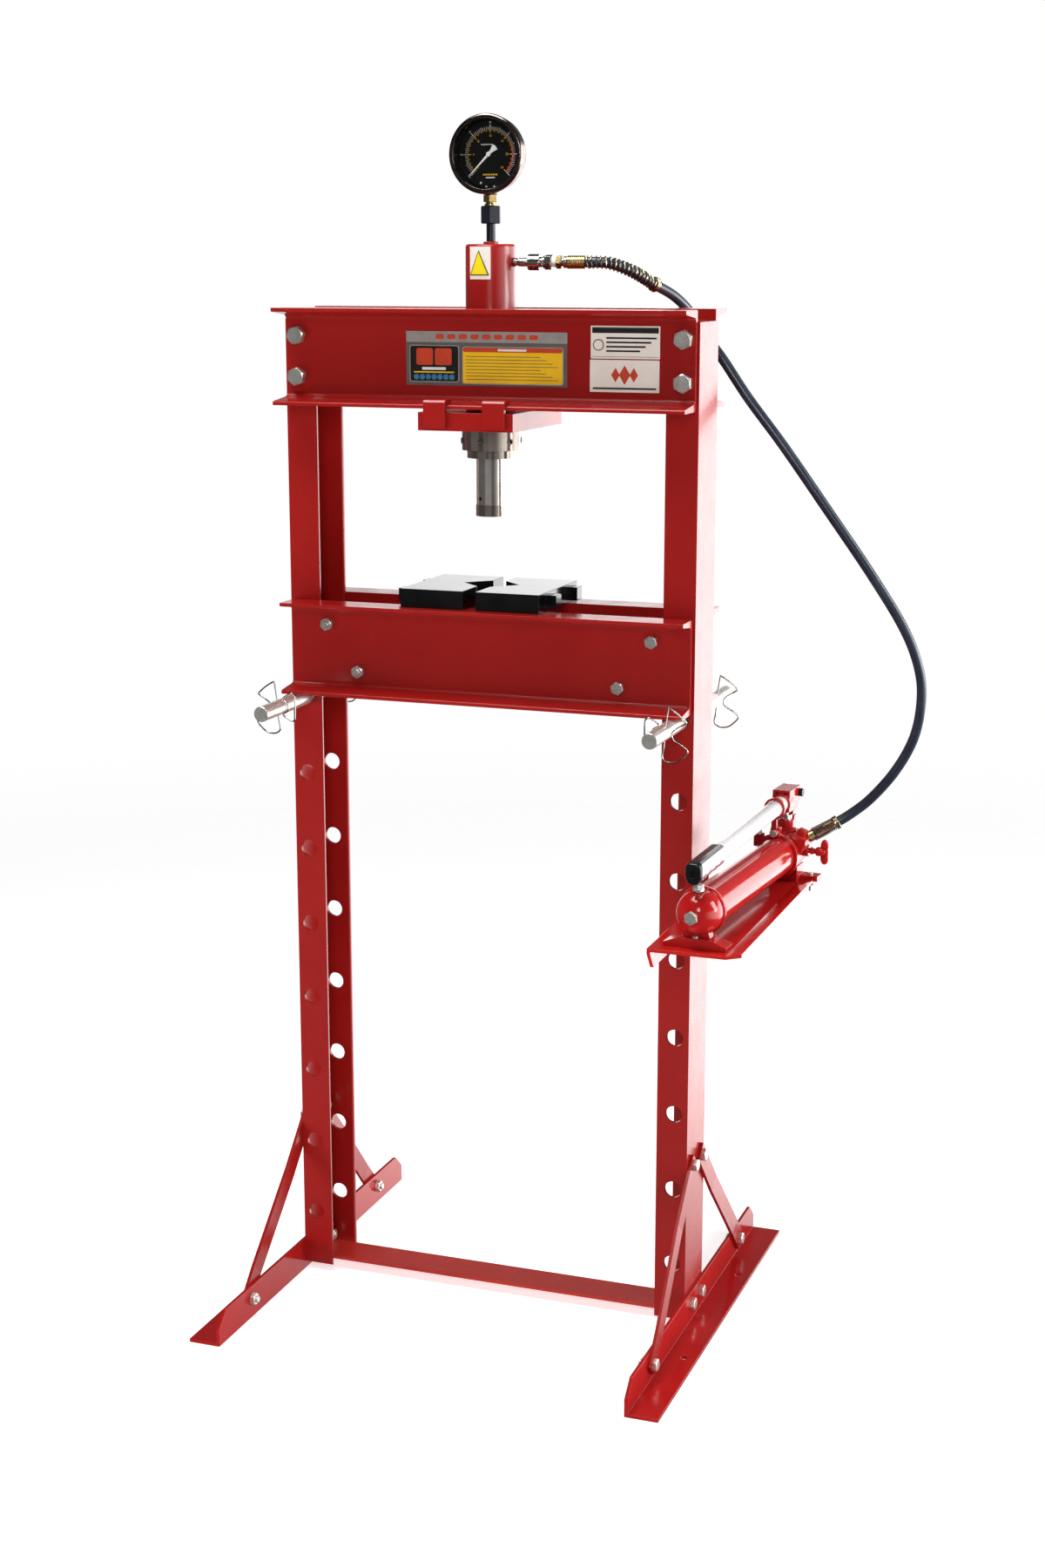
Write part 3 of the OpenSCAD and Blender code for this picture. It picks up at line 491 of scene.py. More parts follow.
SLOT_MATERIAL = {
    "red_enamel": RED, "zinc_steel": ZINC, "brass": BRASS, "brown_steel": TURNED, "black_paint": BLACK,
    "bright_steel": BRIGHT, "dial_black": DIAL, "lens": GLASS, "needle_white": WHITE,
    "hose_rubber": RUBBER, "seal_rubber": SEAL, "grip_black": GRIP,
}
NODE_MATERIAL = {
    "handle_tube": CHROME, "ram_rod": ROD, "gauge_bezel": BEZEL, "pivot_pin": OXIDE, "pump_shelf": RED_SHELF_LIT,
    "base_crossbar": RED_GRAIN_LIT, "left_foot": RED_FEET_LIT, "right_foot": RED_FEET_LIT,
}
for cast_node in ("pump_end_cap", "pump_head", "pump_cylinder", "reservoir_tube", "lever_yoke",
                  "handle_clip", "release_valve"):
    NODE_MATERIAL[cast_node] = RED_CAST


def finish_cad_nodes():
    slots = {part["node"]: part["material_slot"] for part in frame["record"]["subparts"]}
    for name, node in frame["nodes"].items():
        material = NODE_MATERIAL.get(name) or SLOT_MATERIAL[slots[name]]
        node.data.materials.clear()
        node.data.materials.append(material)


finish_cad_nodes()


# ---------- hose ----------

HOSE_ROUTE = [Vector(p) * MM for p in (
    (134, 0, 1587), (150, 0, 1587), (170, 6, 1585), (196, 26, 1574), (218, 60, 1556),
    (236, 100, 1539), (252, 128, 1516), (272, 137, 1484), (302, 138, 1446), (341, 139, 1391),
    (396, 140, 1322), (462, 144, 1232), (528, 150, 1140), (579, 156, 1060), (602, 162, 1000),
    (606, 166, 950), (596, 172, 896), (570, 177, 844), (534, 178, 798), (502, 174, 770),
    (474, 164, 752), (452, 150, 740))]
ROUTE_END = len(HOSE_ROUTE) - 1
HOSE_D = 15 * MM


def route(s):
    return spline(HOSE_ROUTE, s)


def heading(s):
    return (route(min(s + 0.02, ROUTE_END)) - route(max(s - 0.02, 0))).normalized()


def route_lengths():
    """Pairs of (place on the route, length from its start)."""
    steps = 20
    marks = [(0.0, 0.0)]
    before = route(0)
    for i in range(1, ROUTE_END * steps + 1):
        point = route(i / steps)
        marks.append((i / steps, marks[-1][1] + (point - before).length))
        before = point
    return marks


LENGTHS = route_lengths()


def place_at(length):
    """The place on the route at a length from its start."""
    for (s0, l0), (s1, l1) in zip(LENGTHS, LENGTHS[1:]):
        if l1 >= length:
            return s0 + (s1 - s0) * (length - l0) / (l1 - l0)
    return float(ROUTE_END)


def guard(low, high, pitch, coil_r, wire_r):
    """A wire wound round the hose between two lengths from its start."""
    steps = 18
    turns = round((high - low) / pitch)
    path = []
    for i in range(turns * steps + 1):
        s = place_at(low + (high - low) * i / (turns * steps))
        along = heading(s)
        u = Vector((0, 0, 1)).cross(along).normalized()
        v = along.cross(u)
        a = 2 * math.pi * i / steps
        path.append(route(s) + coil_r * (math.cos(a) * u + math.sin(a) * v))
    return tube(path, wire_r, 8)


def collar(s):
    """The rolled ring that closes a guard: two beads with a groove between them."""
    inner, r = HOSE_D / 2 + 0.5 * MM, 10.4 * MM
    half = 3.2 * MM
    groove, bead = r - 0.6 * MM, r + 0.5 * MM
    profile = [(inner, -half), (groove, -half), (bead, -half + 0.8 * MM), (bead, -0.9 * MM), (groove, 0),
               (bead, 0.9 * MM), (bead, half - 0.8 * MM), (groove, half), (inner, half)]
    return lathe(profile, 32, closed=True), frame_at(route(s), heading(s))


def add_hose():
    samples = 9
    path = [route(i / samples) for i in range(ROUTE_END * samples + 1)]
    hose = piece("hose", Shape().add(tube(path, HOSE_D / 2, 24)), RUBBER, None,
                 ("hydraulic_hose",))
    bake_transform(hose)
    whole = LENGTHS[-1][1]
    upper = Shape().add(guard(1.5 * MM, 114 * MM, pitch=6.2 * MM, coil_r=8.6 * MM, wire_r=1.0 * MM))
    upper.add(*collar(place_at(117 * MM)))
    lower = Shape().add(guard(whole - 38 * MM, whole - 1 * MM, pitch=2.9 * MM, coil_r=9.4 * MM,
                              wire_r=0.95 * MM))
    lower.add(*collar(place_at(whole - 41 * MM)))
    upper = piece("upper_guard_wire", upper, GOLD_ZINC, "ram_head", ("upper_hose_guard",))
    lower = piece("lower_guard_wire", lower, GOLD_ZINC, "frame", ("lower_hose_guard",))


add_hose()


# ---------- bolts and nuts ----------

# Width across the flats, head height, nut height, thread radius and pitch
M16 = [v * MM for v in (24, 10, 13, 8, 2)]
M10 = [v * MM for v in (17, 6.4, 8, 5, 1.5)]


def lowered(part, depth):
    points, faces = part
    return [Vector(p) - Vector((0, 0, depth)) for p in points], faces


def bolt(size, length, threaded):
    """A bolt of a whole length with the top of its head at z = 0. The end of its shank is threaded."""
    across, head, _, radius, pitch = size
    shank = length - head
    plain = Shape().add(hex_body(across, head))
    washer_r, half = across * 0.46, 0.3 * MM
    plain.add(lathe([(0, -0.2 * MM), (washer_r, -0.2 * MM), (washer_r, half), (0, half)], 36))
    plain.add(lathe([(0, -shank + threaded), (radius, -shank + threaded), (radius, 0), (0, 0)], 28))
    plain.add(thread(radius, 0, threaded, pitch), place(z=-shank) @ turn(180, "X") @ place(z=-threaded))
    return lowered((plain.points, plain.faces), head)


def nut(size):
    """A nut with its outer face at z = 0."""
    across, _, height, radius, _ = size
    return lowered(hex_body(across, height, True, inner=radius), height)


def fastener_sites(node, count):
    """Boxes of the separate solids of a CAD node, found from its own mesh."""
    mesh = frame["nodes"][node].data
    parent = list(range(len(mesh.vertices)))

    def root(i):
        while parent[i] != i:
            parent[i] = parent[parent[i]]
            i = parent[i]
        return i

    seen = {}
    for i, v in enumerate(mesh.vertices):
        key = tuple(round(c * 1e5) for c in v.co)
        if key in seen:
            parent[root(i)] = root(seen[key])
        seen.setdefault(key, i)
    for e in mesh.edges:
        parent[root(e.vertices[0])] = root(e.vertices[1])
    groups = {}
    for i, v in enumerate(mesh.vertices):
        groups.setdefault(root(i), []).append(v.co)
    boxes = []
    for points in groups.values():
        low = Vector([min(p[k] for p in points) for k in range(3)])
        high = Vector([max(p[k] for p in points) for k in range(3)])
        boxes.append((low, high))
    boxes.sort(key=lambda b: tuple(round(c, 4) for c in b[0]))
    if len(boxes) != count:
        raise RuntimeError(f"{node} has {len(boxes)} solids, not {count}")
    return boxes


def add_fasteners(node, name, count, axis, body, make, outward=None):
    """Puts a detailed fastener on each solid of a CAD node.

    A part's z = 0 lies on the end of the solid's box that looks away from the press, or on its high end where
    outward is positive. make turns the box's length into a part. Each part is turned a little differently.
    """
    shape = Shape()
    for low, high in fastener_sites(node, count):
        centre = (low + high) / 2
        sign = math.copysign(1, outward(centre) if outward else centre[axis])
        tip = centre.copy()
        tip[axis] = high[axis] if sign > 0 else low[axis]
        direction = Vector([sign if k == axis else 0 for k in range(3)])
        shape.add(make(high[axis] - low[axis]), frame_at(tip, direction) @ turn(random.uniform(-25, 25), "Z"))
    piece(name, shape, ZINC, body, (node,), 28)


add_fasteners("crown_bolts", "crown_bolt_set", 8, 1, "frame", lambda length: bolt(M16, 40 * MM, 16 * MM))
add_fasteners("crown_nuts", "crown_nut_set", 8, 1, "frame", lambda length: nut(M16))
add_fasteners("frame_nuts", "frame_nut_set", 12, 0, "frame", lambda length: nut(M10))
add_fasteners("frame_bolts", "frame_bolt_set", 12, 0, "frame", lambda length: bolt(M10, length, 14 * MM))
# The bed's left bolts have their heads at the back, its right bolts at the front
add_fasteners("bed_bolts", "bed_bolt_set", 4, 1, "bed", lambda length: bolt(M10, length, 22 * MM),
              outward=lambda centre: -centre.x)
add_fasteners("bed_nuts", "bed_nut_set", 4, 1, "bed", lambda length: nut(M10))


# ---------- bed pins' wire clips ----------

# The loops of one wire clip, seen from the front and measured from the pin's axis. The outer loop has an ear
# above and a round loop below. The inner one is a D-shaped ring that hugs the pin
CLIP_WIRE = 1.15 * MM
CLIP_Y = (-137 * MM, 138 * MM)
CLIP_OUTER = [Vector(p) * MM for p in (
    (5, 0, 8), (6, 0, 15), (9, 0, 35), (11, 0, 37), (24, 0, 29), (35, 0, 19), (34, 0, 16), (24, 0, 10),
    (15, 0, 2), (17, 0, -8), (32, 0, -17), (38, 0, -25), (27, 0, -37), (17, 0, -41), (7, 0, -40),
    (1, 0, -34), (3, 0, -20), (4, 0, -9))]
CLIP_INNER = [Vector(p) * MM for p in (
    (-4, -1, 12), (-17, -2, 21), (-23, -2, 19), (-24.5, -2, 13), (-24.5, -2, -14), (-23, -2, -19),
    (-19, -2, -20), (-5, -1, -12), (-12, -1, -6), (-13.2, -1, 0), (-12, -1, 6))]


def add_pin_clips():
    steps = 6
    for side, body in ((-1, "left_pin"), (1, "right_pin")):
        x, _, z = middle(f"{body.split('_')[0]}_bed_pin")
        shape = Shape()
        for y in CLIP_Y:
            for loop in (CLIP_OUTER, CLIP_INNER):
                path = [spline(loop, i / steps, wrap=True) for i in range(len(loop) * steps)]
                path = [Vector((x + side * p.x, y + p.y, z + p.z)) for p in path]
                shape.add(tube(path, CLIP_WIRE, 10, closed=True))
        piece(f"{body}_clip_wires", shape, NICKEL, body, (f"{body}_clips",), 60)


add_pin_clips()


# ---------- crown and cylinder labels: plain colour blocks ----------

PRINT_THICK = 0.25 * MM
# Thickness of the crown's channels
WEB = 6 * MM


def add_blocks(name, material, face_y, step, radius, blocks):
    """Thin rounded plates on a frame face that looks to -Y, on top of step layers of earlier ones.

    A block is (x0, x1, z0, z1) in millimetres.
    """
    shape = Shape()
    front = face_y - step * PRINT_THICK
    for x0, x1, z0, z1 in blocks:
        r = min(radius, 0.45 * (x1 - x0), 0.45 * (z1 - z0)) * MM
        outline = rounded((x1 - x0) * MM, (z1 - z0) * MM, r)
        at = place((x0 + x1) / 2 * MM, front, (z0 + z1) / 2 * MM) @ turn(90, "X")
        shape.add(extrude(outline, 0, PRINT_THICK), at)
    piece(name, shape, material, "frame")


def add_crown_labels():
    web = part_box("crown_front_channel")[1][1] - WEB
    red = [(-106, -80, 1442, 1466), (-77, -51, 1442, 1466), (-33.5, 118, 1461, 1467.5)]
    red += [(-76 + 18 * k, -63 + 18 * k, 1479, 1486) for k in range(9)]
    dots = [(-110 + 9.2 * k, -102 + 9.2 * k, 1421, 1429) for k in range(7)]
    lines = [(-29, 112 - 9 * ((k * 5) % 4), 1422 + 4.6 * k, 1423.2 + 4.6 * k) for k in range(8)]
    dark = [(162, 260, 1490, 1497.5), (163.5, 257, 1412, 1414.5)]
    dark += [(183, 257 - 8 * k, 1482 - 6 * k, 1484.4 - 6 * k) for k in range(4)]
    dark += [(161.5, 260.5, 1457, 1457.5), (161.5, 260.5, 1498, 1498.4)]
    for name, material, slot, step, radius, blocks in (
            ("plate", GREY_PRINT, "black_paint", 0, 1, [(-122, 125, 1413, 1490)]),
            ("silver_band", SILVER_PRINT, "zinc_steel", 1, 1, [(-122, 125, 1474.5, 1490)]),
            ("frames", SILVER_PRINT, "zinc_steel", 1, 4,
             [(-117, -39.5, 1417.5, 1470.5), (-35, 119.5, 1415.5, 1469)]),
            ("black_panel", BLACK_PRINT, "black_paint", 2, 3, [(-115.5, -41, 1419, 1469)]),
            ("yellow_panel", YELLOW_PRINT, "brass", 2, 3, [(-33.5, 118, 1417, 1467.5)]),
            ("red_blocks", RED_PRINT, "red_enamel", 3, 3, red),
            ("white_bars", WHITE, "needle_white", 4, 1, [(-97, -60, 1435, 1439), (20, 64, 1462.6, 1465.8)]),
            ("yellow_bar", YELLOW_PRINT, "brass", 3, 0.5, [(-110, -47, 1431, 1432.8)]),
            ("blue_dots", BLUE_PRINT, "hose_rubber", 3, 4, dots),
            ("ochre_lines", OCHRE_PRINT, "brass", 3, 0.4, lines),
            ("cream_plates", CREAM_PRINT, "needle_white", 0, 1,
             [(160, 262, 1454.6, 1500), (159, 261.5, 1408, 1453)]),
            ("dark_bars", BLACK_PRINT, "black_paint", 1, 0.6, dark),
            ("grey_disc", GREY_PRINT, "black_paint", 1, 8, [(163.5, 179.5, 1465.5, 1481.5)]),
            ("cream_disc", CREAM_PRINT, "needle_white", 2, 6.5, [(165, 178, 1467, 1480)])):
        add_blocks(f"label_{name}", material, web, step, radius, blocks)
    badge = Shape()
    for cx, cz, size in ((197, 1432, 10), (210.5, 1432, 13.5), (224, 1432, 10)):
        half = 0.62 * (size * MM)
        outline = [(half, 0), (0, size * MM), (-half, 0), (0, -size * MM)]
        at = place(cx * MM, web - PRINT_THICK, cz * MM) @ turn(90, "X")
        badge.add(extrude(outline, 0, PRINT_THICK), at)
    piece("label_red_badge", badge, RED_PRINT, "frame")


def add_cylinder_label():
    low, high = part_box("cylinder_barrel")
    radius = (high[0] - low[0]) / 2
    x, y, _ = middle("cylinder_barrel")
    top = high[2]

    def wrapped(corners, lift):
        """A thin plate over a four-cornered outline, bent round the barrel. An outline is (along, height)."""
        low_z, high_z = min(z for _, z in corners), max(z for _, z in corners)
        rows = 24
        edge = []
        for i in range(rows + 1):
            z = low_z + (high_z - low_z) * i / rows
            cuts = []
            for (x0, z0), (x1, z1) in zip(corners, corners[1:] + corners[:1]):
                if abs(z1 - z0) > 1e-9 and min(z0, z1) - 1e-9 <= z <= max(z0, z1) + 1e-9:
                    cuts.append(x0 + (x1 - x0) * (z - z0) / (z1 - z0))
            edge.append((min(cuts), max(cuts), z))
        cols = 12
        rings = []
        for left, right, z in edge:
            ring = []
            for r, span in ((radius + lift + 0.3 * MM, range(cols + 1)),
                            (radius + lift, range(cols, -1, -1))):
                for k in span:
                    a = -math.pi / 2 + (left + (right - left) * k / cols) / radius
                    ring.append((x + r * math.cos(a), y + r * math.sin(a), z))
            rings.append(ring)
        return Shape().add(loft(rings))

    def sloped(left, right, low_depth, high_left, high_right, high_depth):
        """A four-cornered outline. Its depths are measured down from the barrel's top."""
        corners = ((left, low_depth), (right, low_depth), (high_right, high_depth), (high_left, high_depth))
        return [(along * MM, top - depth * MM) for along, depth in corners]

    def triangle(half, low_depth, high_depth):
        cx = -4.5
        return sloped(cx - half, cx + half, low_depth, cx - 0.2, cx + 0.2, high_depth)

    piece("cylinder_label", wrapped(sloped(-21, 13, 49.5, -21, 13, 3.5), 0), CREAM_PRINT, "ram_head")
    piece("cylinder_label_triangle", wrapped(triangle(15.5, 44, 9), 0.3 * MM), BLACK_PRINT, "ram_head")
    piece("cylinder_label_yellow", wrapped(triangle(13, 42.6, 12), 0.6 * MM), LEMON_PRINT, "ram_head")


add_crown_labels()
add_cylinder_label()


# ---------- gauge ----------

def gauge_centre():
    """The middle of the dial's front."""
    x, _, z = middle("gauge_dial")
    return Vector((x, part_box("gauge_dial")[0][1], z))


def polar(radius, degrees):
    a = math.radians(degrees)
    return radius * math.cos(a), radius * math.sin(a)


def band(r0, r1, a0, a1):
    """Outline of a part of a ring between two radii and two angles."""
    steps = 40
    outer = [polar(r1, a0 + (a1 - a0) * i / steps) for i in range(steps + 1)]
    inner = [polar(r0, a1 + (a0 - a1) * i / steps) for i in range(steps + 1)]
    return outer + inner


def tick(r0, r1, angle, width):
    """Outline of a scale mark between two radii."""
    a = math.radians(angle)
    dx, dy = -math.sin(a) * width / 2, math.cos(a) * width / 2
    (x0, y0), (x1, y1) = polar(r0, angle), polar(r1, angle)
    return [(x0 - dx, y0 - dy), (x1 - dx, y1 - dy), (x1 + dx, y1 + dy), (x0 + dx, y0 + dy)]


def digits(text, height, x, y):
    """Numerals as a flat mesh, centred on a point of the dial."""
    curve = bpy.data.curves.new("digits", "FONT")
    curve.body = text
    curve.size = height
    curve.align_x = "CENTER"
    curve.align_y = "CENTER"
    curve.extrude = 0.05
    holder = bpy.data.objects.new("digits", curve)
    bpy.context.scene.collection.objects.link(holder)
    bpy.context.view_layer.update()
    depsgraph = bpy.context.evaluated_depsgraph_get()
    mesh = bpy.data.meshes.new_from_object(holder.evaluated_get(depsgraph))
    points = [(v.co.x + x, v.co.y + y, v.co.z + 0.05) for v in mesh.vertices]
    faces = [list(p.vertices) for p in mesh.polygons]
    bpy.data.objects.remove(holder)
    return points, faces


def add_dial_print():
    """Two scales with numerals, plain bars for the small print, and the red arc at the end of the scale."""
    start, sweep = 225, -270
    red_from, red_to = 28, -45
    at = millimetres(Matrix.Translation(gauge_centre()) @ turn(90, "X"))

    def printed(outline):
        return extrude(outline, 0, 0.15)

    def bar(x, y, width, height):
        return printed([(x, y), (x + width, y), (x + width, y + height), (x, y + height)])

    white, yellow, red = Shape(), Shape(), Shape()
    for k in range(61):
        major, middle = k % 10 == 0, k % 5 == 0
        reach = 41.5 if major else 40 if middle else 38.6
        white.add(printed(tick(34.6, reach, start + sweep * k / 60, 0.9 if major else 0.6)), at)
    for k in range(7):
        white.add(digits(str(10 * k), 3.6, *polar(44.3, start + sweep * k / 6)), at)
    for k in range(5):
        white.add(bar(-14 + 3.6 * k, 13, 2.6, 1.6), at)
    white.add(bar(-7, -33, 14, 1.8), at)
    for x, y, r in ((-14.5, -39.5, 1.6), (-6, -44.6, 1.3), (6, -44.6, 1.3)):
        white.add(printed([polar(r, 30 * k) for k in range(12)]), at @ place(x, y, 0))
    yellow.add(printed(band(33.6, 33.95, start, red_from)), at)
    for k in range(25):
        a = start + sweep * k / 24
        major = k % 4 == 0
        yellow.add(printed(tick(29.6 if major else 31.4, 33.5, a, 0.8 if major else 0.45)), at)
        if major:
            yellow.add(digits(str(k), 4.4, *polar(25.6, a)), at)
    for k in range(6):
        yellow.add(bar(-11 + 3.8 * k, -29, 2.8, 2), at)
    red.add(printed(band(33.2, 35.0, red_from, red_to)), at)
    piece("dial_white_scale", white, WHITE, "ram_head")
    piece("dial_yellow_scale", yellow, YELLOW_PRINT, "ram_head")
    piece("dial_red_arc", red, RED_PRINT, "ram_head")


def add_gauge_stem():
    """Boss, pipe, black union nut and brass hexagon under the gauge."""
    x, y, _ = middle("gauge_adapter")
    at = millimetres(place(x, y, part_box("cylinder_barrel")[1][2]))
    boss = Shape().add(lathe([(0, 0), (11, 0), (11, 2.4), (10, 3.5), (0, 3.5)], 40), at)
    boss.add(lathe([(0, -11), (6, -11), (6, 1), (0, 1)], 32), at)
    pipe = Shape().add(lathe([(0, 3.5), (6.5, 3.5), (6.5, 29), (0, 29)], 40), at)
    pipe.add(hex_body(27, 25, True), at @ place(z=28.5) @ turn(15, "Z"))
    collar_profile = [(0, 53), (7, 53), (9.3, 54), (9.3, 56), (7.2, 57), (7.2, 59), (0, 59)]
    brass = Shape().add(lathe(collar_profile, 36), at)
    brass.add(hex_body(19.5, 11, True), at @ place(z=58.4) @ turn(10, "Z"))
    piece("stem_boss", boss, RED, "ram_head", ("gauge_adapter",))
    piece("stem_union", pipe, OXIDE, "ram_head", ("gauge_adapter",), 28)
    piece("stem_brass_hexagon", brass, BRASS, "ram_head", ("gauge_adapter",), 28)


def add_needle():
    """A tapered pointer with a fan tail on a turned hub."""
    at = millimetres(Matrix.Translation(gauge_centre()) @ turn(90, "X") @ turn(-45, "Z"))
    shape = Shape()
    blade = [(-1.7, 0), (-0.35, -43), (0.35, -43), (1.7, 0), (2.4, 7), (5.0, 14.2), (0, 15.6), (-5.0, 14.2),
             (-2.4, 7)]
    shape.add(extrude(blade, 6.9, 7.6), at)
    shape.add(lathe([(0, 6.2), (3.3, 6.2), (3.3, 8.4), (2.7, 9), (1.2, 9), (1.0, 8.7), (0, 8.7)], 32), at)
    piece("needle_blade", shape, WHITE, "needle", ("gauge_needle",))


add_dial_print()
add_gauge_stem()
add_needle()


# ---------- coupler and hose end ----------

def along_x(node):
    """Matrix in millimetres whose +Z runs along +X on the coupler's axis."""
    _, y, z = middle(node)
    return millimetres(place(0, y, z) @ turn(90, "Y"))


def knurled(radius, bore, low, high):
    """A sleeve with a diamond knurl between two plain lips."""
    teeth, depth, rows = 44, 0.28, 14
    sides = teeth * 4
    rings = []
    for i in range(rows + 1):
        z = low + (high - low) * i / rows
        ring = []
        for k in range(sides):
            a = 2 * math.pi * k / sides
            wave = math.cos(teeth * a + math.pi * (i % 2))
            lip = i in (0, 1, rows - 1, rows)
            r = radius if lip else radius - depth * (0.5 - 0.5 * wave)
            ring.append((r * math.cos(a), r * math.sin(a), z))
        rings.append(ring)
    return loft(rings + [circle(bore, high, sides), circle(bore, low, sides)], closed=True)


def add_coupler():
    at = along_x("coupler_nipple")
    nipple = [(0, 20), (4.95, 20), (4.95, 26), (6.4, 26.4), (6.4, 29), (5.2, 29.6), (5.2, 32), (6.0, 33),
              (6.0, 46), (5.6, 46.8), (4.9, 48.3), (4.9, 54.6), (0, 54.6)]
    piece("nipple_turned", Shape().add(lathe(nipple, 40), at), NICKEL, "ram_head",
          ("coupler_nipple",))
    sleeve = Shape().add(knurled(11.5, 8.1, 48.5, 65.4), at)
    sleeve.add(lathe([(5.1, 48.5), (8.4, 48.5), (8.4, 50.1), (5.1, 50.1)], 36, closed=True), at)
    piece("sleeve_knurled", sleeve, NICKEL, "sleeve", ("coupler_sleeve",), 24)
    socket = Shape().add(lathe([(5.0, 54.7), (8.0, 54.7), (8.0, 66.4), (7.0, 66.8), (7.0, 68.4), (8.0, 68.8),
                                (8.0, 69.9), (9.0, 71.4), (9.0, 72.8), (5.0, 72.8)], 40, closed=True), at)
    socket.add(hex_body(19, 11.1, True), at @ place(z=72.8) @ turn(12, "Z"))
    piece("socket_hexagon", socket, NICKEL, "ram_head", ("coupler_socket",), 28)


def add_return_spring():
    """The spring round the rod inside the barrel, drawn fixed; the real one shortens as the piston comes
    down.
    """
    low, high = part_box("return_spring")
    x, y, _ = middle("return_spring")
    wire = 1.5 * MM
    radius = (high[0] - low[0]) / 2 - wire
    bottom, top = low[2] + wire, high[2] - wire
    turns, steps = 13, 24
    path = []
    for i in range(turns * steps + 1):
        a = 2 * math.pi * i / steps
        path.append(Vector((x + radius * math.cos(a), y + radius * math.sin(a),
                            bottom + (top - bottom) * i / (turns * steps))))
    spring = piece("spring_coil", Shape().add(tube(path, wire, 8)), ZINC, None,
                   ("return_spring",))
    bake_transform(spring)


def add_ram_screw():
    """The small screw low in the rod's front left side: a round rim with a hexagon in it."""
    rod_r = 22
    x, y, _ = middle("ram_rod")
    at = place(x, y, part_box("ram_nose")[1][2] - 3.7 * MM)
    at = millimetres(at @ turn(-27, "Z") @ turn(90, "X"))
    rim = [(1.6, rod_r - 2), (3.0, rod_r - 2), (3.0, rod_r + 0.02), (2.7, rod_r + 0.25), (1.6, rod_r + 0.25)]
    shape = Shape().add(lathe(rim, 36, closed=True), at)
    shape.add(extrude([polar(1.65, 60 * k) for k in range(6)], rod_r - 2, rod_r + 0.08), at)
    piece("ram_grub_screw", shape, OXIDE, "ram")


def add_hose_end():
    at = along_x("hose_end_fitting")
    tape = Shape().add(lathe([(0, 83.9), (6.8, 83.9), (7.0, 85), (6.7, 86.2), (7.0, 87.4), (6.7, 88.6),
                              (7.0, 90.4), (0, 90.4)], 36), at)
    piece("thread_tape", tape, WHITE, "ram_head", ("hose_end_fitting",))
    hexagon = Shape().add(hex_body(17, 8.3, True), at @ place(z=90.4) @ turn(8, "Z"))
    ridge, groove, z = 9.35, 8.75, 109.6
    ferrule = [(6.6, 107), (9.0, 107), (ridge, 108), (ridge, z)]
    while z < 130:
        ferrule += [(ridge, z + 0.7), (groove, z + 1.2), (groove, z + 1.7), (ridge, z + 2.2)]
        z += 2.9
    ferrule += [(ridge, 132.6), (9.0, 134), (6.6, 134)]
    hexagon.add(lathe(ferrule, 40, closed=True), at)
    piece("hose_ferrule", hexagon, BRASS, "ram_head", ("hose_end_fitting",), 28)
    ring = Shape().add(lathe([(0, 98.7), (6, 98.7), (6, 101), (8.2, 101.6), (8.5, 102.4), (8.5, 104),
                              (7.6, 104.6), (8.5, 105.4), (8.5, 106.4), (8.0, 107), (0, 107)], 36), at)
    piece("swivel_collar", ring, NICKEL, "ram_head", ("hose_end_fitting",))


add_coupler()
add_return_spring()
add_ram_screw()
add_hose_end()


# ---------- pump ----------

# The pump's own axes, in millimetres: +Y runs along its cylinder from the end cap to the head
PUMP = millimetres(place(382 * MM, -230 * MM, 0) @ turn(-3.8, "Z"))
AXIS_Z = 712
# +Z runs along the handle from its pivot
HANDLE = PUMP @ place(0, 376, AXIS_Z + 77.8) @ turn(92.4, "X")
HANDLE_LEN = 304
GRIP_LEN = 103


def grip_section(z):
    """Cross-section of the grip at a distance along it: flat top, narrower round bottom, finger notches."""
    first_finger, finger_pitch, finger_r = 16, 22, 9
    half, top = 12.0, 15.5
    notch = 0.0
    for k in range(4):
        d = abs(z - (first_finger + finger_pitch * k))
        if d < finger_r:
            notch = math.sqrt(finger_r * finger_r - d * d) * 0.55
    bottom = -top - 1.2 * z / GRIP_LEN + notch
    points = []
    for a in range(0, 360, 10):
        c, s = math.cos(math.radians(a)), math.sin(math.radians(a))
        x = half * math.copysign(abs(c) ** 0.5, c)
        if s < 0:
            x *= 1 - 0.42 * abs(s) ** 2
        y = top * abs(s) ** 0.62 if s >= 0 else bottom * abs(s) ** 0.8
        points.append((x, y))
    return points


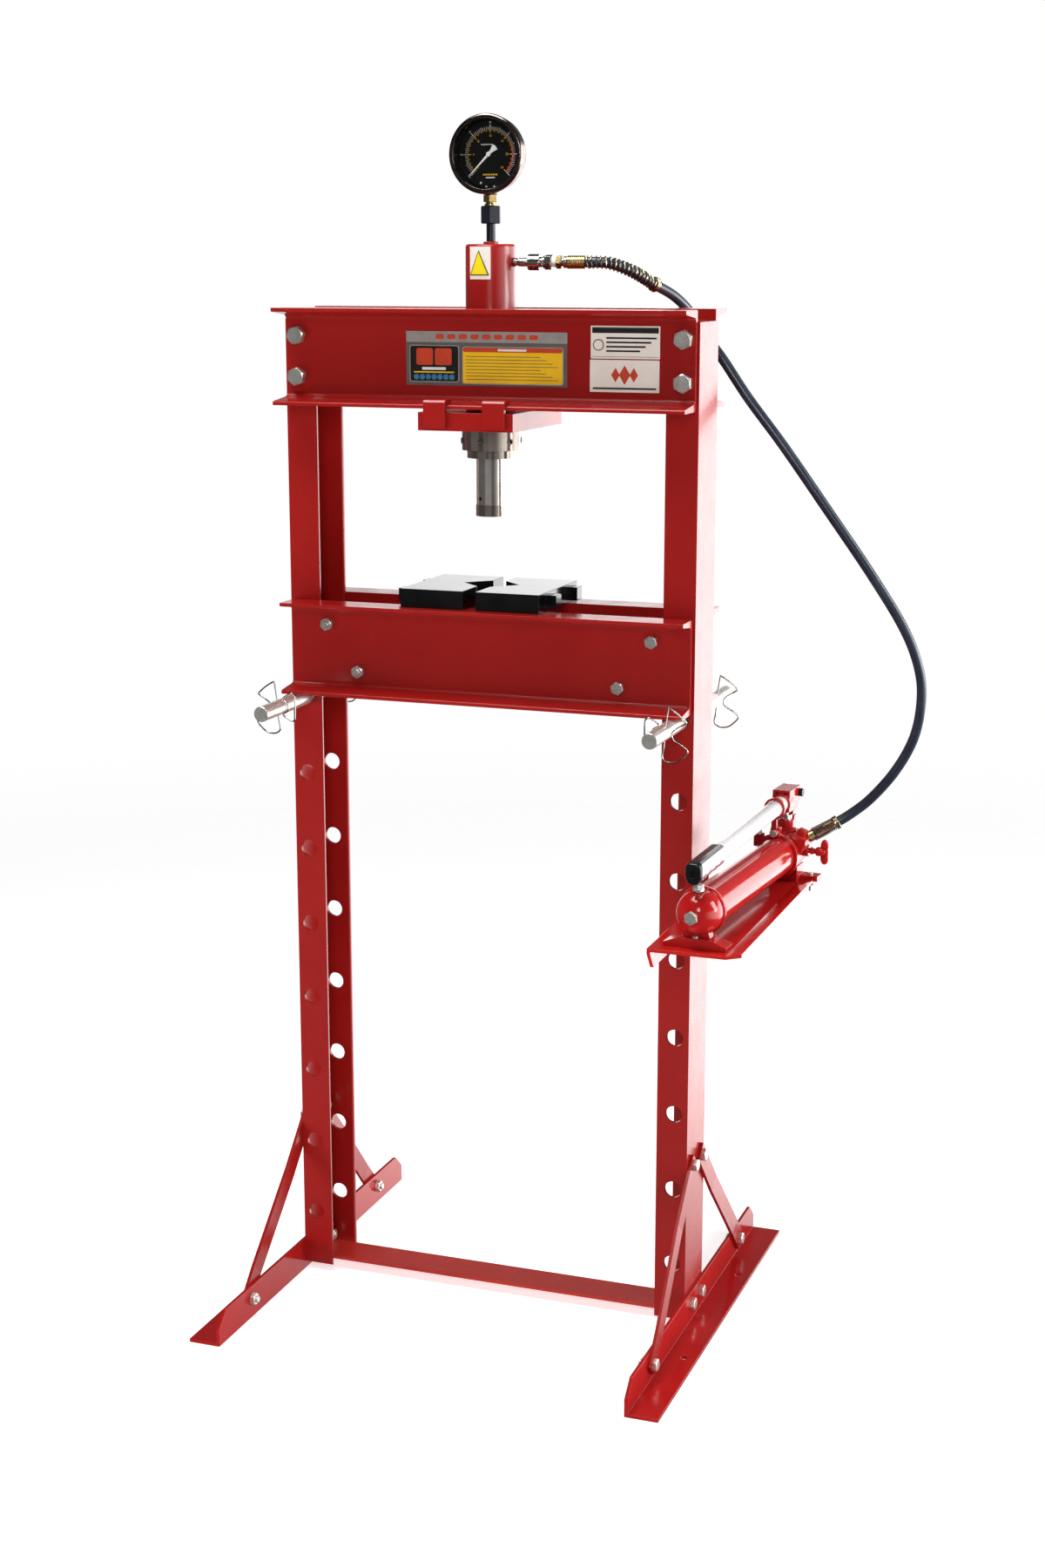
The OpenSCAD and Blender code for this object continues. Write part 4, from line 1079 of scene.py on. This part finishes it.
def add_grip():
    """A silver shell over the tube's end, with a black insert on its top and a black end."""
    shell_len = GRIP_LEN - 9
    rings = []
    steps = 94
    for i in range(steps + 1):
        z = shell_len * i / steps
        inset = 0.94 if i in (0, steps) else 1.0
        rings.append([(inset * x, inset * y, z) for x, y in grip_section(z)])
    at = HANDLE @ place(z=HANDLE_LEN)
    shell = Shape().add(loft(rings), at)
    shell.add(lathe([(0, -26), (9.9, -26), (9.9, 1), (0, 1)], 40), at)
    piece("grip_shell", shell, SILVER, "lever", ("handle_grip",), 40)
    black = Shape()
    strip = []
    for z, lift in ((6, -0.8), (7, 0.5), (shell_len - 0.5, 0.5)):
        ring = []
        for x, y in ((-7.2, 12), (7.2, 12), (7.2, 15.2 + lift), (6.2, 16.0 + lift), (3, 16.2 + lift),
                     (-3, 16.2 + lift), (-6.2, 16.0 + lift), (-7.2, 15.2 + lift)):
            ring.append((x, min(y, 16.6), z))
        strip.append(ring)
    black.add(loft(strip), at)
    rings = []
    for past, inset in ((-1, 1.0), (4, 1.0), (6.6, 0.965), (8.2, 0.89), (9, 0.76), (9, 0.34), (6, 0.28)):
        rings.append([(inset * x, inset * y, shell_len + past) for x, y in grip_section(shell_len)])
    black.add(loft(rings), at)
    piece("grip_insert", black, GRIP, "lever", ("handle_grip",), 50)


def add_cap_rim():
    """The rolled lip where the end cap takes the reservoir tube."""
    at = PUMP @ place(0, 0, AXIS_Z) @ turn(-90, "X")
    profile = [(31.4, 9), (33.0, 9.6), (34.2, 11), (34.6, 13.5), (34.2, 16), (33.0, 17.6), (31.4, 18)]
    piece("cap_rim", Shape().add(lathe(profile, 72, closed=True), at), RED_CAST, "frame")


def add_plugs():
    """Filler plug on top, front plug in the end cap, a small screw and the square relief cap on the head."""
    zinc = Shape()
    filler = PUMP @ place(0, -5, AXIS_Z + 32)
    zinc.add(lathe([(0, -12), (5, -12), (5, 0), (8, 0), (8, 3.2), (7.2, 4), (0, 4)], 36), filler)
    zinc.add(hex_body(14, 5), filler @ place(z=4) @ turn(10, "Z"))
    front = PUMP @ place(0, -32, AXIS_Z) @ turn(90, "X")
    zinc.add(hex_body(17, 6), front @ turn(4, "Z"))
    zinc.add(lathe([(0, -12), (5, -12), (5, 0.5), (0, 0.5)], 30), front)
    zinc.add(hex_body(11, 6), PUMP @ place(-27, 338, AXIS_Z + 33) @ turn(20, "Z"))
    piece("pump_plug_set", zinc, ZINC, "frame", ("pump_plugs",), 28)
    slanted = PUMP @ place(14, 350, AXIS_Z + 14) @ turn(20, "Y") @ place(10.5, 18.5, 21)
    cap = Shape().add(extrude(rounded(13, 13, 2.5), 0, 8), slanted)
    cap.add(extrude(rounded(11.4, 11.4, 2), 8, 9), slanted)
    piece("relief_cap", cap, RED_CAST, "frame", ("pump_plugs",))


def add_valve_wing():
    """A turned stem across the pump head, and the flat wing on its end."""
    at = PUMP @ place(0, 383, AXIS_Z + 3) @ turn(90, "Y")
    shape = Shape()
    shape.add(lathe([(0, 16), (4, 16), (4, 42), (5.6, 42.6), (5.6, 45.5), (4.2, 46.2), (4.2, 50), (6.4, 51.5),
                     (7, 53), (7, 60), (5.8, 64), (3.6, 66.4), (0, 67.4)], 36), at)
    outline = []
    for k in range(72):
        a = math.radians(5 * k)
        reach = 6.6 + 12.9 * abs(math.sin(a)) ** 5
        outline.append((reach * math.sin(a), reach * math.cos(a) * 0.95))
    rings = []
    for y, inset in ((-3, 0.80), (-2.6, 0.92), (-1.5, 0.985), (0, 1.0), (1.5, 0.985), (2.6, 0.92), (3, 0.80)):
        rings.append([(inset * p, inset * q, y) for p, q in outline])
    wing = PUMP @ place(64, 383, AXIS_Z + 3) @ turn(-90, "X") @ turn(90, "Z")
    shape.add(loft(rings), wing)
    piece("valve_wing", shape, RED_CAST, "valve", ("release_valve",), 45)


add_grip()
add_cap_rim()
add_plugs()
add_valve_wing()


# ---------- floor and light ----------

def add_floor():
    """A white disc that fades out towards its rim, so that no horizon shows."""
    mesh = bpy.data.meshes.new("floor")
    mesh.from_pydata([tuple(p) for p in circle(6.0, -0.0006, 96)], [], [list(range(96))])
    material = bpy.data.materials.new("studio_floor")
    tree, out = shader_tree(material, "OutputMaterial")
    paint = add_node(tree, "BsdfPrincipled", {"Base Color": (0.84, 0.84, 0.84, 1), "Roughness": 0.55,
                                              "Emission Color": (1, 1, 1, 1), "Emission Strength": 0.62})
    clear = add_node(tree, "BsdfTransparent", {})
    where = add_node(tree, "TexCoord", {}).outputs["Object"]
    distance = add_node(tree, "VectorMath", {0: where}, operation="LENGTH").outputs["Value"]
    fade = eased(tree, distance, 1.2, 4.5, 0.0, 1.0)
    mix = add_node(tree, "MixShader", {0: fade, 1: paint.outputs[0], 2: clear.outputs[0]})
    tree.links.new(mix.outputs[0], out)
    mesh.materials.append(material)
    floor = bpy.data.objects.new("floor", mesh)
    bpy.context.scene.collection.objects.link(floor)
    floor.visible_glossy = False


def add_world():
    """Plain white for the camera. The room that lights the press is brightest behind it on its right."""
    bpy.context.scene.view_settings.view_transform = "Standard"
    world = bpy.data.worlds.new("studio")
    bpy.context.scene.world = world
    tree, out = shader_tree(world, "OutputWorld")
    where = add_node(tree, "TexCoord", {}).outputs["Generated"]
    bright_side = Vector((0.72, 0.68, 0.12)).normalized()
    towards = add_node(tree, "VectorMath", {0: where, 1: bright_side}, operation="DOT_PRODUCT")
    level = eased(tree, towards.outputs["Value"], -0.15, 0.95, 0.12, 4.7)
    height = add_node(tree, "SeparateXYZ", {0: where}).outputs["Z"]
    ceiling = eased(tree, height, 0.16, 0.23, 1.0, 0.05)
    ground = eased(tree, height, -0.44, -0.30, 0.06, 1.0)
    room = add_node(tree, "Background", {"Strength": product(tree, level, product(tree, ceiling, ground))})
    plain = add_node(tree, "Background", {"Color": (1, 1, 1, 1)})
    ray = add_node(tree, "LightPath", {}).outputs["Is Camera Ray"]
    mix = add_node(tree, "MixShader", {0: ray, 1: room.outputs[0], 2: plain.outputs[0]})
    tree.links.new(mix.outputs[0], out)


def add_light(name, where, at, size, power, mirrored=True):
    data = bpy.data.lights.new(name, "AREA")
    data.shape = "RECTANGLE"
    data.size, data.size_y = size
    data.energy = power
    lamp = bpy.data.objects.new(name, data)
    lamp.location = where
    lamp.rotation_euler = (Vector(at) - Vector(where)).to_track_quat("-Z", "Y").to_euler()
    lamp.visible_glossy = mirrored
    bpy.context.scene.collection.objects.link(lamp)


add_floor()
add_world()
add_light("right_softbox", (2.6, 0.5, 1.7), (0.1, 0, 0.9), (1.0, 1.8), 60)
add_light("top_softbox", (-0.4, -0.6, 3.4), (0, 0, 1.0), (1.6, 1.2), 72)
add_light("front_fill", (1.0, -3.4, 2.3), (0, 0, 0.9), (0.7, 1.0), 34)
add_light("low_left_fill", (-2.2, -2.0, 0.45), (0, 0, 0.35), (0.9, 0.7), 30, False)
